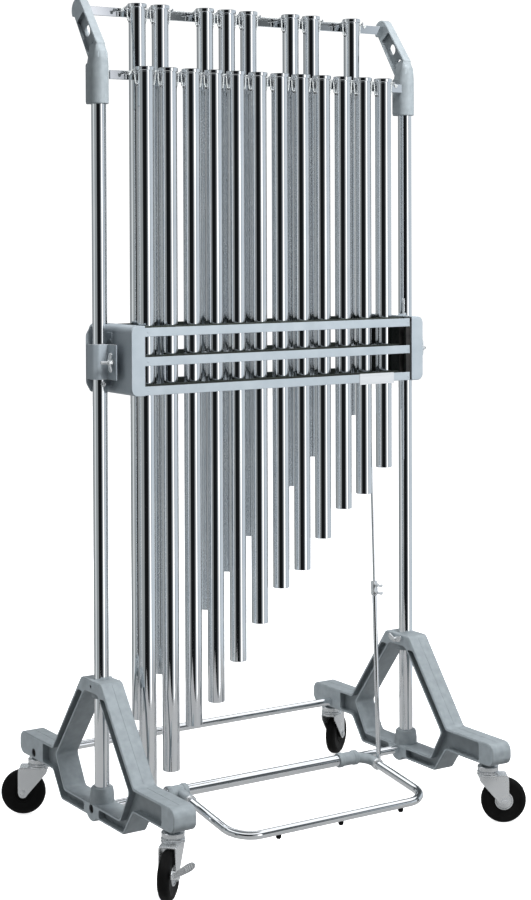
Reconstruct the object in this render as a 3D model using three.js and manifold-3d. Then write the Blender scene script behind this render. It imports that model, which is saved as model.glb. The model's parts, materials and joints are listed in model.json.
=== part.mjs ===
// Orchestral tubular bells on a wheeled stand.
// Millimetres, +Z up, +X to the player's right, -Y towards the player.
// Each mesh is one solid piece; pieces that touch keep a small gap.

import * as THREE from 'three';
import { mergeVertices } from 'three/addons/utils/BufferGeometryUtils.js';
import Module from 'manifold-3d';

const wasm = await Module();
wasm.setup();

// ---------------------------------------------------------------- driving dimensions

const GAP = 0.3;                        // clearance between pieces that touch

const BELL = {
  radius: 19,                           // 38 mm tube
  wall: 1.5,
  capRadius: 21.5,
  capHeight: 9,
  pitch: 58.35,                         // spacing of the front row
  holeDrop: 40,                         // suspension hole below the cap's top
  holeRadius: 3,
  longest: 1641,                        // the lowest bell, C
  shrinkPerSemitone: 0.0306,            // natural logarithm of the length step
  sides: 12,
};
const FRONT_ROW = { y: -38.4, top: 1707, railBack: -10, railHalf: 393.7 };
const REAR_ROW = { y: 48, top: 1854, railBack: 78, railHalf: 403.2 };
const NATURALS = [0, 2, 4, 5, 7, 9, 11, 12, 14, 16, 17, 19];
const SHARPS = [1, 3, 6, 8, 10, 13, 15, 18];
const SHARP_PLACES = [0.5, 1.5, 3.5, 4.5, 5.5, 7.5, 8.5, 10.5];
const NATURAL_NAMES = ['c5', 'd5', 'e5', 'f5', 'g5', 'a5', 'b5', 'c6', 'd6', 'e6', 'f6', 'g6'];
const SHARP_NAMES = ['cs5', 'ds5', 'fs5', 'gs5', 'as5', 'cs6', 'ds6', 'fs6'];
const FRONT_HOOKS = NATURALS.map((_, i) => i).concat(NATURALS.length);
const REAR_HOOKS = NATURALS.map((_, i) => i + 0.5);

const RAIL = { thickness: 6, height: 20, pinRadius: 2, pinReach: 6 };
const CORD_RADIUS = 1.5;
const APEX_DROP = 9;                    // cord over a hook, below the cap's top

const POST = { x: 414, radius: 16.3, bottom: 112, top: 1700 };
const CASTING = {
  halfWidth: 27,
  bevel: 3,
  flange: 5,
  recess: 15,
  top: 378,
  topHalf: 46,
  shoulder: [190, 190],
  reach: 358,
  armTop: 190,
  armBottom: 138,
  endRadius: 20,
  junction: 188,
  footHalf: 146,
  foot: 81,
  windowTop: [30, 350],
  windowSide: [168, 176],
  windowLow: [128, 110],
  bossRadius: 27,
  collarTop: 143,
};
const AXLE = { z: 98, radius: 9.5 };
const SCREW = { z: 364, radius: 3.5 };
const CROSS_BAR = { y: 285, z: 152, radius: 9.5 };

const BRACKET = {
  halfWidth: 20,                        // the sleeve round the post
  halfDepth: 23.5,
  bottom: 1625,
  shoulder: 1700,                       // top of the sleeve, where the neck begins
  blockTop: 1714,                       // top of the block behind the post
  neckMiddle: 1736,
  tip: [82, 1836],                      // centre of the round end of the arm
  tipRadius: 25,
  lean: 38.2 * (Math.PI / 180),         // the arm's lean away from the player
  armLength: 121,
  armHalf: 10.5,
  recess: 8,
  bevel: 2,
};

const BOX = {
  halfLength: 390,
  halfDepth: 99.5,
  bottom: 997,
  top: 1147,
  sheet: 2.5,
  cornerRadius: 15,
  flange: 33,
  barHeight: 19,
  barPitch: 63,
  barThickness: 3,
};
const DAMPER = { felt: 10, backing: 4, slatHeight: 26, rise: 4, halfLength: 354 };
const SHAFT = { y: 3.6, z: 1070, radius: 5, leverX: 317, leverReach: 14 };
const CLAMP = {
  bottom: 1030,
  height: 76,
  sheet: 2.5,
  earX: 405,
  earReach: 40,
  nutY: -43,
  wingScale: 0.88,
  leftNut: 413.7,                       // how far out each nut is screwed
  rightNut: 433,
};

const PEDAL = {
  left: -222,
  right: 290,
  reach: 250,
  drop: 37.2,
  rodRadius: 9.5,
  cornerRadius: 58,
  bumperMiddle: 46,
  bumperPitch: 164,
  bumperDrop: 8,
  sleeveRadius: 13,
  sleeveFrom: -254,
  sleeveTo: 266,
};
const LINK = { bottom: [307, -34, 84], top: [317, 17.6, 1070], joint: 480 };

const CASTER = {
  frontY: -308,
  rearY: 316,
  trail: 35,
  wheelRadius: 51.4,
  wheelHalf: 14,
  plate: 3,
  headTop: 129.7,
};

// ---------------------------------------------------------------- colours

const FINISH = {
  chrome: { color: 0xc9ced4, roughness: 0.08, metalness: 1 },
  casting: { color: 0x9aa1a5, roughness: 0.45, metalness: 0.9 },
  sheet: { color: 0xb4bcc8, roughness: 0.5, metalness: 0.6 },
  zinc: { color: 0xb9bec2, roughness: 0.3, metalness: 1 },
  rubber: { color: 0x101012, roughness: 0.55, metalness: 0 },
  felt: { color: 0x1d2a22, roughness: 0.95, metalness: 0 },
  cord: { color: 0xdfe3e2, roughness: 0.8, metalness: 0 },
};

// ---------------------------------------------------------------- tools

const stand = new THREE.Group();

function solidOf(geometry) {
  const bare = geometry.index ? geometry.toNonIndexed() : geometry.clone();
  bare.deleteAttribute('normal');
  bare.deleteAttribute('uv');
  const merged = mergeVertices(bare, 1e-3);
  const index = merged.index.array;
  const triVerts = [];
  for (let i = 0; i < index.length; i += 3) {
    const [a, b, c] = [index[i], index[i + 1], index[i + 2]];
    if (a !== b && b !== c && c !== a) {
      triVerts.push(a, b, c);
    }
  }
  const mesh = new wasm.Mesh({
    numProp: 3,
    vertProperties: new Float32Array(merged.attributes.position.array),
    triVerts: new Uint32Array(triVerts),
  });
  return new wasm.Manifold(mesh);
}

function geometryOf(solid) {
  const { vertProperties, triVerts } = solid.getMesh();
  const geometry = new THREE.BufferGeometry();
  geometry.setAttribute('position', new THREE.BufferAttribute(new Float32Array(vertProperties), 3));
  geometry.setIndex(new THREE.BufferAttribute(new Uint32Array(triVerts), 1));
  return geometry;
}

function join(...geometries) {
  return geometryOf(geometries.map(solidOf).reduce((sum, next) => sum.add(next)));
}

function cut(geometry, ...tools) {
  const body = tools.map(solidOf).reduce((rest, tool) => rest.subtract(tool), solidOf(geometry));
  return geometryOf(body);
}

function hull(...geometries) {
  return geometryOf(wasm.Manifold.hull(geometries.map(solidOf)));
}

function addPiece(parent, name, geometry, finish) {
  const mesh = new THREE.Mesh(geometry, new THREE.MeshStandardMaterial(FINISH[finish]));
  mesh.name = name;
  parent.add(mesh);
  return mesh;
}

function box(x0, x1, y0, y1, z0, z1) {
  const geometry = new THREE.BoxGeometry(x1 - x0, y1 - y0, z1 - z0);
  return geometry.translate((x0 + x1) / 2, (y0 + y1) / 2, (z0 + z1) / 2);
}

function rod(from, to, radius, sides = 12, endRadius = radius) {
  const start = new THREE.Vector3(...from);
  const end = new THREE.Vector3(...to);
  const along = end.clone().sub(start);
  const geometry = new THREE.CylinderGeometry(endRadius, radius, along.length(), sides);
  const turn = new THREE.Quaternion().setFromUnitVectors(
    new THREE.Vector3(0, 1, 0),
    along.clone().normalize(),
  );
  geometry.applyQuaternion(turn);
  return geometry.translate(...start.add(end).multiplyScalar(0.5).toArray());
}

const PLANES = {
  xy: [[1, 0, 0], [0, 1, 0], [0, 0, 1]],
  yz: [[0, 1, 0], [0, 0, 1], [1, 0, 0]],
  xz: [[-1, 0, 0], [0, 0, 1], [0, 1, 0]],
};

// Extrudes a shape drawn in one plane from `low` to `high` along the third axis.
// In the xz plane the shape's first coordinate is -x.
function prism(shape, plane, low, high, bevel = 0, curveSegments = 6) {
  const geometry = new THREE.ExtrudeGeometry(shape, {
    depth: high - low - 2 * bevel,
    bevelEnabled: bevel > 0,
    bevelThickness: bevel,
    bevelSize: bevel,
    bevelOffset: -bevel,
    bevelSegments: 1,
    curveSegments,
  });
  geometry.translate(0, 0, low + bevel);
  const [u, v, w] = PLANES[plane].map((axis) => new THREE.Vector3(...axis));
  return geometry.applyMatrix4(new THREE.Matrix4().makeBasis(u, v, w));
}

function shapeOf(points) {
  return new THREE.Shape(points.map(([u, v]) => new THREE.Vector2(u, v)));
}

function rounded(u0, u1, v0, v1, radius) {
  const shape = new THREE.Shape();
  shape.moveTo(u0 + radius, v0);
  shape.lineTo(u1 - radius, v0);
  shape.absarc(u1 - radius, v0 + radius, radius, -Math.PI / 2, 0);
  shape.lineTo(u1, v1 - radius);
  shape.absarc(u1 - radius, v1 - radius, radius, 0, Math.PI / 2);
  shape.lineTo(u0 + radius, v1);
  shape.absarc(u0 + radius, v1 - radius, radius, Math.PI / 2, Math.PI);
  shape.lineTo(u0, v0 + radius);
  shape.absarc(u0 + radius, v0 + radius, radius, Math.PI, 1.5 * Math.PI);
  return shape;
}

// Moves every edge of a closed outline inwards (anticlockwise outlines, positive distance).
function inset(points, distance) {
  const count = points.length;
  const edges = points.map((from, i) => {
    const to = points[(i + 1) % count];
    const length = Math.hypot(to[0] - from[0], to[1] - from[1]);
    const direction = [(to[0] - from[0]) / length, (to[1] - from[1]) / length];
    const start = [from[0] - direction[1] * distance, from[1] + direction[0] * distance];
    return { start, direction };
  });
  return edges.map((edge, i) => {
    const last = edges[(i + count - 1) % count];
    const turn = last.direction[0] * edge.direction[1] - last.direction[1] * edge.direction[0];
    const dx = edge.start[0] - last.start[0];
    const dy = edge.start[1] - last.start[1];
    const along = (dx * edge.direction[1] - dy * edge.direction[0]) / turn;
    return [last.start[0] + last.direction[0] * along, last.start[1] + last.direction[1] * along];
  });
}

// The outline of a bent sheet of even thickness along an open path.
function strip(path, thickness) {
  const half = thickness / 2;
  const normals = path.slice(1).map(([u, v], i) => {
    const du = u - path[i][0];
    const dv = v - path[i][1];
    const length = Math.hypot(du, dv);
    return [-dv / length, du / length];
  });
  const offsets = path.map((point, i) => {
    const before = normals[Math.max(i - 1, 0)];
    const after = normals[Math.min(i, normals.length - 1)];
    const scale = half / (1 + before[0] * after[0] + before[1] * after[1]);
    return [(before[0] + after[0]) * scale, (before[1] + after[1]) * scale];
  });
  const left = path.map(([u, v], i) => [u + offsets[i][0], v + offsets[i][1]]);
  const right = path.map(([u, v], i) => [u - offsets[i][0], v - offsets[i][1]]);
  return shapeOf([...right, ...left.reverse()]);
}

// A curve through given points whose samples fall exactly on them.
class Route extends THREE.Curve {
  constructor(points) {
    super();
    this.points = points.map((point) => new THREE.Vector3(...point));
  }

  getPoint(t, target = new THREE.Vector3()) {
    const place = t * (this.points.length - 1);
    const i = Math.min(Math.floor(place), this.points.length - 2);
    return target.lerpVectors(this.points[i], this.points[i + 1], place - i);
  }

  getUtoTmapping(u) {
    return u;
  }
}

function sweep(points, radius, sides) {
  const section = new THREE.Shape();
  for (let i = 0; i < sides; i += 1) {
    const angle = (i / sides) * 2 * Math.PI;
    const place = [radius * Math.cos(angle), radius * Math.sin(angle)];
    if (i === 0) {
      section.moveTo(...place);
    } else {
      section.lineTo(...place);
    }
  }
  return new THREE.ExtrudeGeometry(section, {
    steps: points.length - 1,
    extrudePath: new Route(points),
    bevelEnabled: false,
    curveSegments: 1,
  });
}

function mirrorPoints(points) {
  return points.map(([u, v]) => [-u, v]).reverse();
}

function mirrored(geometry, axis) {
  const copy = join(geometry);
  copy.scale(axis === 'x' ? -1 : 1, axis === 'y' ? -1 : 1, 1);
  const index = copy.index.array;
  for (let i = 0; i < index.length; i += 3) {
    [index[i], index[i + 1]] = [index[i + 1], index[i]];
  }
  return copy;
}

// ---------------------------------------------------------------- bells

function bellLength(semitone) {
  return BELL.longest * Math.exp(-BELL.shrinkPerSemitone * semitone);
}

function bellGeometry(length) {
  const inner = BELL.radius - BELL.wall;
  const lid = BELL.capHeight - 2;
  const profile = [
    [0, -lid],
    [inner, -lid],
    [inner, -length],
    [BELL.radius, -length],
    [BELL.radius, -BELL.capHeight],
    [BELL.capRadius, -BELL.capHeight],
    [BELL.capRadius, 0],
    [0, 0],
  ].map(([r, z]) => new THREE.Vector2(r, z));
  const tube = new THREE.LatheGeometry(profile, BELL.sides).rotateX(Math.PI / 2);
  const reach = BELL.capRadius + 2;
  const hole = rod([-reach, 0, -BELL.holeDrop], [reach, 0, -BELL.holeDrop], BELL.holeRadius, 8);
  return cut(tube, hole);
}

function placeX(place) {
  return (place - (NATURALS.length - 1) / 2) * BELL.pitch;
}

function addBells(row, names, places, semitones) {
  names.forEach((name, i) => {
    const bell = addPiece(stand, `bell_${name}`, bellGeometry(bellLength(semitones[i])), 'chrome');
    bell.position.set(placeX(places[i]), row.y, row.top);
  });
}

// ---------------------------------------------------------------- rails and cords

function railGeometry(row, hookPlaces) {
  const half = row.railHalf;
  const apex = row.top - APEX_DROP;
  const pinZ = apex - CORD_RADIUS - GAP - RAIL.pinRadius;
  const railTop = pinZ + RAIL.pinRadius + 2.5;
  const front = row.railBack - RAIL.thickness;
  const bar = box(-half, half, front, row.railBack, railTop - RAIL.height, railTop);
  const tip = row.y - RAIL.pinReach;
  const pins = hookPlaces.flatMap((place) => {
    const x = placeX(place - 0.5);
    const lipTop = apex + CORD_RADIUS + 2;
    return [
      rod([x, front + 1, pinZ], [x, tip, pinZ], RAIL.pinRadius, 6),
      box(x - 2, x + 2, tip - 1.5, tip + 1.5, pinZ - 2, lipTop),
    ];
  });
  return join(bar, ...pins);
}

// The cord runs over each hook and through the side holes of each bell.
function cordGeometry(row, hookPlaces, bellPlaces) {
  const apex = row.top - APEX_DROP;
  const hole = row.top - BELL.holeDrop;
  const first = placeX(hookPlaces[0] - 0.5);
  const last = placeX(hookPlaces[hookPlaces.length - 1] - 0.5);
  const route = [[first - 10, row.y, apex - 8]];
  hookPlaces.forEach((place) => {
    const x = placeX(place - 0.5);
    for (const [dx, dz] of [[-3.3, -1], [0, 0.3], [3.3, -1]]) {
      route.push([x + dx, row.y, apex + dz]);
    }
    if (bellPlaces.includes(place)) {
      const bellX = placeX(place);
      for (const [dx, dz] of [[-21.2, 3], [-17, 0], [17, 0], [21.2, 3]]) {
        route.push([bellX + dx, row.y, hole + dz]);
      }
    }
  });
  route.push([last + 10, row.y, apex - 8]);
  return sweep(route, CORD_RADIUS, 6);
}

// ---------------------------------------------------------------- end castings

function castingShape() {
  const c = CASTING;
  const r = c.endRadius;
  const shape = new THREE.Shape();
  const bossHalf = Math.sqrt(c.bossRadius ** 2 - (AXLE.z - c.foot) ** 2);
  const bossStart = Math.atan2(c.foot - AXLE.z, bossHalf);
  shape.moveTo(c.topHalf, c.top);
  shape.lineTo(-c.topHalf, c.top);
  shape.lineTo(-c.shoulder[0], c.shoulder[1]);
  shape.lineTo(-c.reach + r, c.armTop);
  shape.absarc(-c.reach + r, c.armTop - r, r, Math.PI / 2, Math.PI);
  shape.absarc(-c.reach + r, c.armBottom + r, r, Math.PI, 1.5 * Math.PI);
  shape.lineTo(-c.junction, c.armBottom);
  shape.lineTo(-c.footHalf, c.foot);
  shape.absarc(0, AXLE.z, c.bossRadius, Math.PI - bossStart, 2 * Math.PI + bossStart);
  shape.lineTo(c.footHalf, c.foot);
  shape.lineTo(c.junction, c.armBottom);
  shape.absarc(c.reach - r, c.armBottom + r, r, -Math.PI / 2, 0);
  shape.absarc(c.reach - r, c.armTop - r, r, 0, Math.PI / 2);
  shape.lineTo(c.shoulder[0], c.shoulder[1]);
  shape.holes.push(new THREE.Path(windowPoints().map(([u, v]) => new THREE.Vector2(u, v))));
  return shape;
}

function windowPoints() {
  const side = [CASTING.windowLow, CASTING.windowSide, CASTING.windowTop];
  return [...side, ...mirrorPoints(side)];
}

// The pockets that leave a web and flanges: one along each leg with its arm, two in the foot.
function recessShapes() {
  const c = CASTING;
  const f = c.flange;
  const [lowY, lowZ] = c.windowLow;
  const [sideY, sideZ] = c.windowSide;
  const [apexY, apexZ] = c.windowTop;
  const legAndArm = (armEnd) => [
    [c.bossRadius + 2, c.foot],
    [c.footHalf, c.foot],
    [c.junction, c.armBottom],
    [armEnd, c.armBottom],
    [armEnd, c.armTop],
    [c.shoulder[0], c.shoulder[1]],
    [apexY + 34, apexZ + 2],
    [apexY, apexZ],
    [sideY, sideZ],
    [lowY, lowZ],
    [c.bossRadius + 2, lowZ],
  ];
  const rear = inset(legAndArm(243), f);
  const front = mirrorPoints(inset(legAndArm(313), f));
  return [shapeOf(rear), shapeOf(front)];
}

function castingGeometry() {
  const c = CASTING;
  const stemY = [CASTER.frontY, CASTER.rearY];
  const collarBottom = c.windowLow[1] - 2;
  const holeReach = c.halfWidth + 5;
  const body = join(
    prism(castingShape(), 'yz', -c.halfWidth, c.halfWidth, c.bevel),
    rod([0, 0, collarBottom], [0, 0, c.collarTop], 27, 20, 23.5),
    rod([0, 0, c.windowTop[1] - 10], [0, 0, c.windowTop[1] + 2], 22, 20),
    ...stemY.map((y) => rod([0, y, c.armBottom - 8], [0, y, c.armBottom + 2], 15, 16, 19)),
  );
  const pockets = recessShapes().flatMap((shape) => [
    prism(shape, 'yz', -c.halfWidth - 1, -c.halfWidth + c.recess),
    prism(shape, 'yz', c.halfWidth - c.recess, c.halfWidth + 1),
  ]);
  const axleHole = AXLE.radius + GAP;
  const barHole = CROSS_BAR.radius + GAP;
  return cut(
    body,
    ...pockets,
    rod([0, 0, POST.bottom - GAP], [0, 0, c.top + 5], POST.radius + GAP, 20),
    rod([0, 0, SCREW.z], [holeReach, 0, SCREW.z], SCREW.radius + GAP, 10),
    rod([-holeReach, 0, AXLE.z], [holeReach, 0, AXLE.z], axleHole),
    rod([-holeReach, CROSS_BAR.y, CROSS_BAR.z], [holeReach, CROSS_BAR.y, CROSS_BAR.z], barHole),
  );
}

// ---------------------------------------------------------------- top brackets

// A point on the arm: s runs up the arm from the centre of its round end, t towards the rear.
function armPoint(s, t) {
  const { lean, tip } = BRACKET;
  return [
    tip[0] + s * Math.sin(lean) + t * Math.cos(lean),
    tip[1] + s * Math.cos(lean) - t * Math.sin(lean),
  ];
}

// The sleeve's outline seen from above: well rounded in front, squarer behind.
function sleeveSection(halfWidth, front, rear, frontRadius) {
  const rearRadius = 4;
  const shape = new THREE.Shape();
  shape.moveTo(-halfWidth, front + frontRadius);
  shape.absarc(-halfWidth + frontRadius, front + frontRadius, frontRadius, Math.PI, 1.5 * Math.PI);
  shape.absarc(halfWidth - frontRadius, front + frontRadius, frontRadius, 1.5 * Math.PI, 2 * Math.PI);
  shape.absarc(halfWidth - rearRadius, rear - rearRadius, rearRadius, 0, Math.PI / 2);
  shape.absarc(-halfWidth + rearRadius, rear - rearRadius, rearRadius, Math.PI / 2, Math.PI);
  return shape;
}

function bracketArm() {
  const b = BRACKET;
  const foot = -b.armLength;
  const side = shapeOf([
    armPoint(0, -b.tipRadius),
    armPoint(foot, -b.tipRadius),
    [-4, b.blockTop],
    [18, b.blockTop],
    armPoint(foot, 26.8),
    armPoint(-4, 18),
  ]);
  const roundEnd = new THREE.Shape();
  roundEnd.absarc(...b.tip, b.tipRadius, 0, Math.PI);
  roundEnd.absarc(...b.tip, b.tipRadius, Math.PI, 2 * Math.PI);
  const [side1, side2] = [-b.armHalf, b.armHalf];
  const pocket = shapeOf([
    armPoint(-24, -b.tipRadius + 4),
    armPoint(-23, 15.5),
    armPoint(-104, 22),
    armPoint(-117, 10),
    armPoint(-118, -b.tipRadius + 4),
  ]);
  const slots = [[-60, 14, 12], [-106, 11, 10]].map(([s, long, wide]) => {
    const slot = new THREE.Shape();
    slot.absellipse(...armPoint(s, 1.5), wide, long, 0, 2 * Math.PI, false, -b.lean);
    return prism(slot, 'yz', -b.halfWidth, b.halfWidth, 0, 8);
  });
  return cut(
    join(prism(side, 'yz', side1, side2, b.bevel), prism(roundEnd, 'yz', side1, side2, b.bevel, 5)),
    prism(pocket, 'yz', side1 - 1, side1 + b.recess),
    prism(pocket, 'yz', side2 - b.recess, side2 + 1),
    ...slots,
  );
}

function bracketGeometry() {
  const b = BRACKET;
  const slice = (halfWidth, front, rear, z, radius) => (
    prism(sleeveSection(halfWidth, front, rear, radius), 'xy', z - 1, z, 0, 2)
  );
  const [footY, footZ] = armPoint(3 - b.armLength, -b.tipRadius);
  const shoulder = slice(b.halfWidth, -b.halfDepth, b.halfDepth - 3, b.shoulder, 12);
  const middle = slice(16, 1 - b.halfDepth, 16, b.neckMiddle, 12);
  const top = slice(b.armHalf, footY, footY + 10, footZ, 3);
  const block = prism(
    rounded(-2, b.halfDepth, b.bottom, b.blockTop, 7),
    'yz',
    -b.halfWidth,
    b.halfWidth,
    b.bevel,
    3,
  );
  const sleeve = prism(
    sleeveSection(b.halfWidth, -b.halfDepth, b.halfDepth, 12),
    'xy',
    b.bottom,
    b.shoulder,
    b.bevel,
    2,
  );
  const neck = join(hull(shoulder, middle), hull(middle, top));
  return cut(
    join(sleeve, block, neck, bracketArm()),
    rod([0, 0, b.bottom - 5], [0, 0, POST.top + GAP], POST.radius + GAP, 20),
  );
}

// ---------------------------------------------------------------- damper box

function barZ(i) {
  return BOX.bottom + BOX.barHeight / 2 + 1 + i * BOX.barPitch;
}

// A flat plate with a solid end and three bars, joined behind the far end by a strap.
function grilleGeometry() {
  const b = BOX;
  const outer = b.halfDepth;
  const barEnd = b.halfLength - b.flange - 5;
  const plate = prism(
    rounded(b.halfLength - b.flange, b.halfLength, b.bottom, b.top, b.cornerRadius),
    'xz',
    -outer,
    -outer + b.barThickness,
  );
  const squared = box(
    -b.halfLength + b.cornerRadius,
    -b.halfLength + b.flange,
    -outer,
    -outer + b.barThickness,
    b.bottom,
    b.top,
  );
  const bars = [0, 1, 2].map((i) => box(
    -b.halfLength + b.flange - 1,
    barEnd,
    -outer,
    -outer + b.barThickness,
    barZ(i) - b.barHeight / 2,
    barZ(i) + b.barHeight / 2,
  ));
  const strapFront = -outer + b.barThickness - 0.5;
  const strap = box(
    barEnd - 8,
    b.halfLength - b.flange - 1,
    strapFront,
    strapFront + 3,
    b.bottom + 3,
    b.top - 3,
  );
  return join(plate, squared, ...bars, strap);
}

// A shallow rounded cap that is open towards the bells, with the saddle that backs the post.
function endPlateGeometry(depth) {
  const b = BOX;
  const inner = b.halfLength - b.flange;
  const capShape = (margin) => rounded(
    -b.halfLength + margin,
    -inner + 2 * b.cornerRadius,
    b.bottom + margin,
    b.top - margin,
    b.cornerRadius - margin,
  );
  const shell = cut(
    prism(capShape(0), 'xz', -depth, depth),
    prism(capShape(b.sheet), 'xz', -depth + b.sheet, depth - b.sheet),
    box(inner - 2 * b.cornerRadius - 1, inner, -depth - 1, depth + 1, b.bottom - 1, b.top + 1),
  );
  const saddleFront = POST.radius + 1;
  const edge = POST.x + 24;
  const saddle = prism(
    shapeOf([
      [-b.halfLength + 1, b.bottom + 17],
      [-edge + 12, b.bottom + 3],
      [-edge, b.bottom + 24],
      [-edge, b.top - 20],
      [-edge + 12, b.top - 2],
      [-b.halfLength + 1, b.top - 17],
    ].reverse()),
    'xz',
    saddleFront,
    saddleFront + 3,
  );
  const flange = box(
    b.halfLength - 1,
    b.halfLength + 2.5,
    -14,
    saddleFront + 2,
    b.bottom + 17,
    b.top - 17,
  );
  return join(shell, saddle, flange);
}

// The strap that wraps the outside and front of a post and is held by a wing nut.
function clampGeometry() {
  const front = -POST.radius - 3.2;
  const outer = POST.x + POST.radius + 5.7;
  const path = [
    [outer, POST.radius + 1 - GAP],
    [outer, -10],
    [outer - 9, front],
    [CLAMP.earX, front],
    [CLAMP.earX, front - CLAMP.earReach],
  ];
  return prism(strip(path, CLAMP.sheet), 'xy', CLAMP.bottom, CLAMP.bottom + CLAMP.height);
}

// A wing screw on the Y axis: its shank points towards +Y and a stub stands out at -Y.
function wingGeometry(shank, stub, wingScale = 1) {
  const wing = new THREE.Shape();
  wing.moveTo(4, 3);
  wing.quadraticCurveTo(12, 7, 21, 12);
  wing.quadraticCurveTo(26, 6, 20, -2);
  wing.quadraticCurveTo(12, -4, 4, -4);
  wing.lineTo(-4, -4);
  wing.quadraticCurveTo(-12, -4, -20, -2);
  wing.quadraticCurveTo(-26, 6, -21, 12);
  wing.quadraticCurveTo(-12, 7, -4, 3);
  return join(
    prism(wing, 'xz', -1.5, 1.5).scale(wingScale, 1, wingScale),
    rod([0, -4, 0], [0, 6, 0], 6, 12, 7),
    rod([0, -stub, 0], [0, shank, 0], 3.5, 10),
  );
}

// Three felt-faced slats on two end straps, in front of the bells that they damp.
function damperGeometry(face) {
  const back = face - DAMPER.felt - DAMPER.backing;
  const end = DAMPER.halfLength;
  const half = DAMPER.slatHeight / 2;
  const slats = [0, 1, 2].map((i) => {
    const middle = barZ(i) + DAMPER.rise;
    return box(-end, end, back, face, middle - half, middle + half);
  });
  const straps = [-end, end - 12].map((x) => (
    box(x, x + 12, back - 3, back + 3, barZ(0) - 6, barZ(2) + 8)
  ));
  return join(...slats, ...straps);
}

function shaftGeometry() {
  const s = SHAFT;
  const half = BOX.halfLength - BOX.sheet - GAP;
  const lever = new THREE.Shape();
  lever.absarc(s.y, s.z, 9, Math.PI / 2, 1.5 * Math.PI);
  lever.absarc(s.y + s.leverReach, s.z, 5.5, -Math.PI / 2, Math.PI / 2);
  return join(
    rod([-half, s.y, s.z], [half, s.y, s.z], s.radius),
    prism(lever, 'yz', s.leverX + 6, s.leverX + 12),
    rod([s.leverX - 2, s.y + s.leverReach, s.z], [s.leverX + 7, s.y + s.leverReach, s.z], 2.4, 10),
  );
}

// ---------------------------------------------------------------- pedal and link

function sleeveGeometry() {
  const p = PEDAL;
  const slope = Math.atan2(p.drop, p.reach);
  const onPlane = (x, reach) => [x, -reach * Math.cos(slope), AXLE.z - reach * Math.sin(slope)];
  const tee = (x0, x1, legX) => [
    rod([x0, 0, AXLE.z], [x1, 0, AXLE.z], 16, 20),
    rod(onPlane(legX, 6), onPlane(legX, 52), 12, 16),
  ];
  const shoulder = prism(
    shapeOf([
      [p.sleeveTo - 26, -10],
      [p.right - 9, -34],
      [p.right + 9, -40],
      [p.right + 9, -18],
      [p.sleeveTo - 2, 8],
    ].reverse()),
    'xy',
    AXLE.z - 13,
    AXLE.z + 7,
  );
  const [linkX, linkY, linkZ] = LINK.bottom;
  const ear = rod([p.right + 6, linkY, linkZ], [linkX - 5.5, linkY, linkZ], 8, 14);
  const pin = rod([linkX - 6, linkY, linkZ], [linkX + 7, linkY, linkZ], 2.7, 10);
  const body = join(
    rod([p.sleeveFrom, 0, AXLE.z], [p.sleeveTo, 0, AXLE.z], p.sleeveRadius, 20),
    ...tee(p.sleeveFrom, p.sleeveFrom + 52, p.left),
    ...tee(p.sleeveTo - 55, p.sleeveTo, p.right),
    shoulder,
    ear,
    pin,
  );
  const bore = rod([-400, 0, AXLE.z], [400, 0, AXLE.z], AXLE.radius + GAP);
  const sockets = [p.left, p.right].map((x) => (
    rod(onPlane(x, 26), onPlane(x, 60), p.rodRadius + GAP)
  ));
  return cut(body, bore, ...sockets);
}

// The loop lies in a plane through the axle, sloping down towards the player.
function pedalLoopGeometry() {
  const p = PEDAL;
  const slope = Math.atan2(p.drop, p.reach);
  const reach = Math.hypot(p.drop, p.reach);
  const r = p.cornerRadius;
  const route = [[p.left, 27]];
  const cornerSteps = 7;
  for (let i = 0; i <= cornerSteps; i += 1) {
    const angle = (i / cornerSteps) * (Math.PI / 2);
    route.push([p.left + r - r * Math.cos(angle), reach - r + r * Math.sin(angle)]);
  }
  for (let i = cornerSteps; i >= 0; i -= 1) {
    const angle = (i / cornerSteps) * (Math.PI / 2);
    route.push([p.right - r + r * Math.cos(angle), reach - r + r * Math.sin(angle)]);
  }
  route.push([p.right, 27]);
  const loop = sweep(route.map(([x, s]) => [x, -s, 0]), p.rodRadius, 12);
  const bumpers = [-1, 0, 1].map((place) => {
    const x = p.bumperMiddle + place * p.bumperPitch;
    return rod([x, -reach, -p.rodRadius - p.bumperDrop], [x, -reach, 0], 6, 10, 5.5);
  });
  return join(loop, ...bumpers).rotateX(slope).translate(0, 0, AXLE.z);
}

function linkPoint(z) {
  const [x0, y0, z0] = LINK.bottom;
  const [x1, y1, z1] = LINK.top;
  const t = (z - z0) / (z1 - z0);
  return [x0 + (x1 - x0) * t, y0 + (y1 - y0) * t, z];
}

function linkLowerGeometry() {
  const [x, y, z] = LINK.bottom;
  const tube = rod(linkPoint(z + 14), linkPoint(LINK.joint), 5.5, 12);
  const foot = join(
    rod([x - 4.5, y, z], [x + 3, y, z], 8, 14),
    box(x - 4.5, x + 3, y - 5, y + 6, z, z + 22),
  );
  return cut(
    join(tube, foot),
    rod([x - 10, y, z], [x + 10, y, z], 3, 10),
    rod(linkPoint(LINK.joint - 80), linkPoint(LINK.joint + 4), 3.2, 12),
  );
}

function linkUpperGeometry() {
  const [x, y, z] = LINK.top;
  return cut(
    join(
      rod(linkPoint(LINK.joint - 75), linkPoint(z - 5), 2.9, 12),
      rod([x - 1, y, z], [x + 4.5, y, z], 7, 14),
    ),
    rod([x - 5, y, z], [x + 8, y, z], 3.2, 10),
  );
}

function linkClampGeometry() {
  const at = LINK.joint + 1;
  const body = rod(linkPoint(at), linkPoint(at + 34), 8, 14);
  const wings = [8, 26].map((dz) => {
    const [x, y, z] = linkPoint(at + dz);
    const wing = wingGeometry(22, 5).scale(0.6, 0.6, 0.6);
    return wing.rotateY(0.5).translate(x, y - 14, z);
  });
  return cut(join(body, ...wings), rod(linkPoint(at - 5), linkPoint(at + 40), 3.2, 12));
}

// ---------------------------------------------------------------- casters

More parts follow.
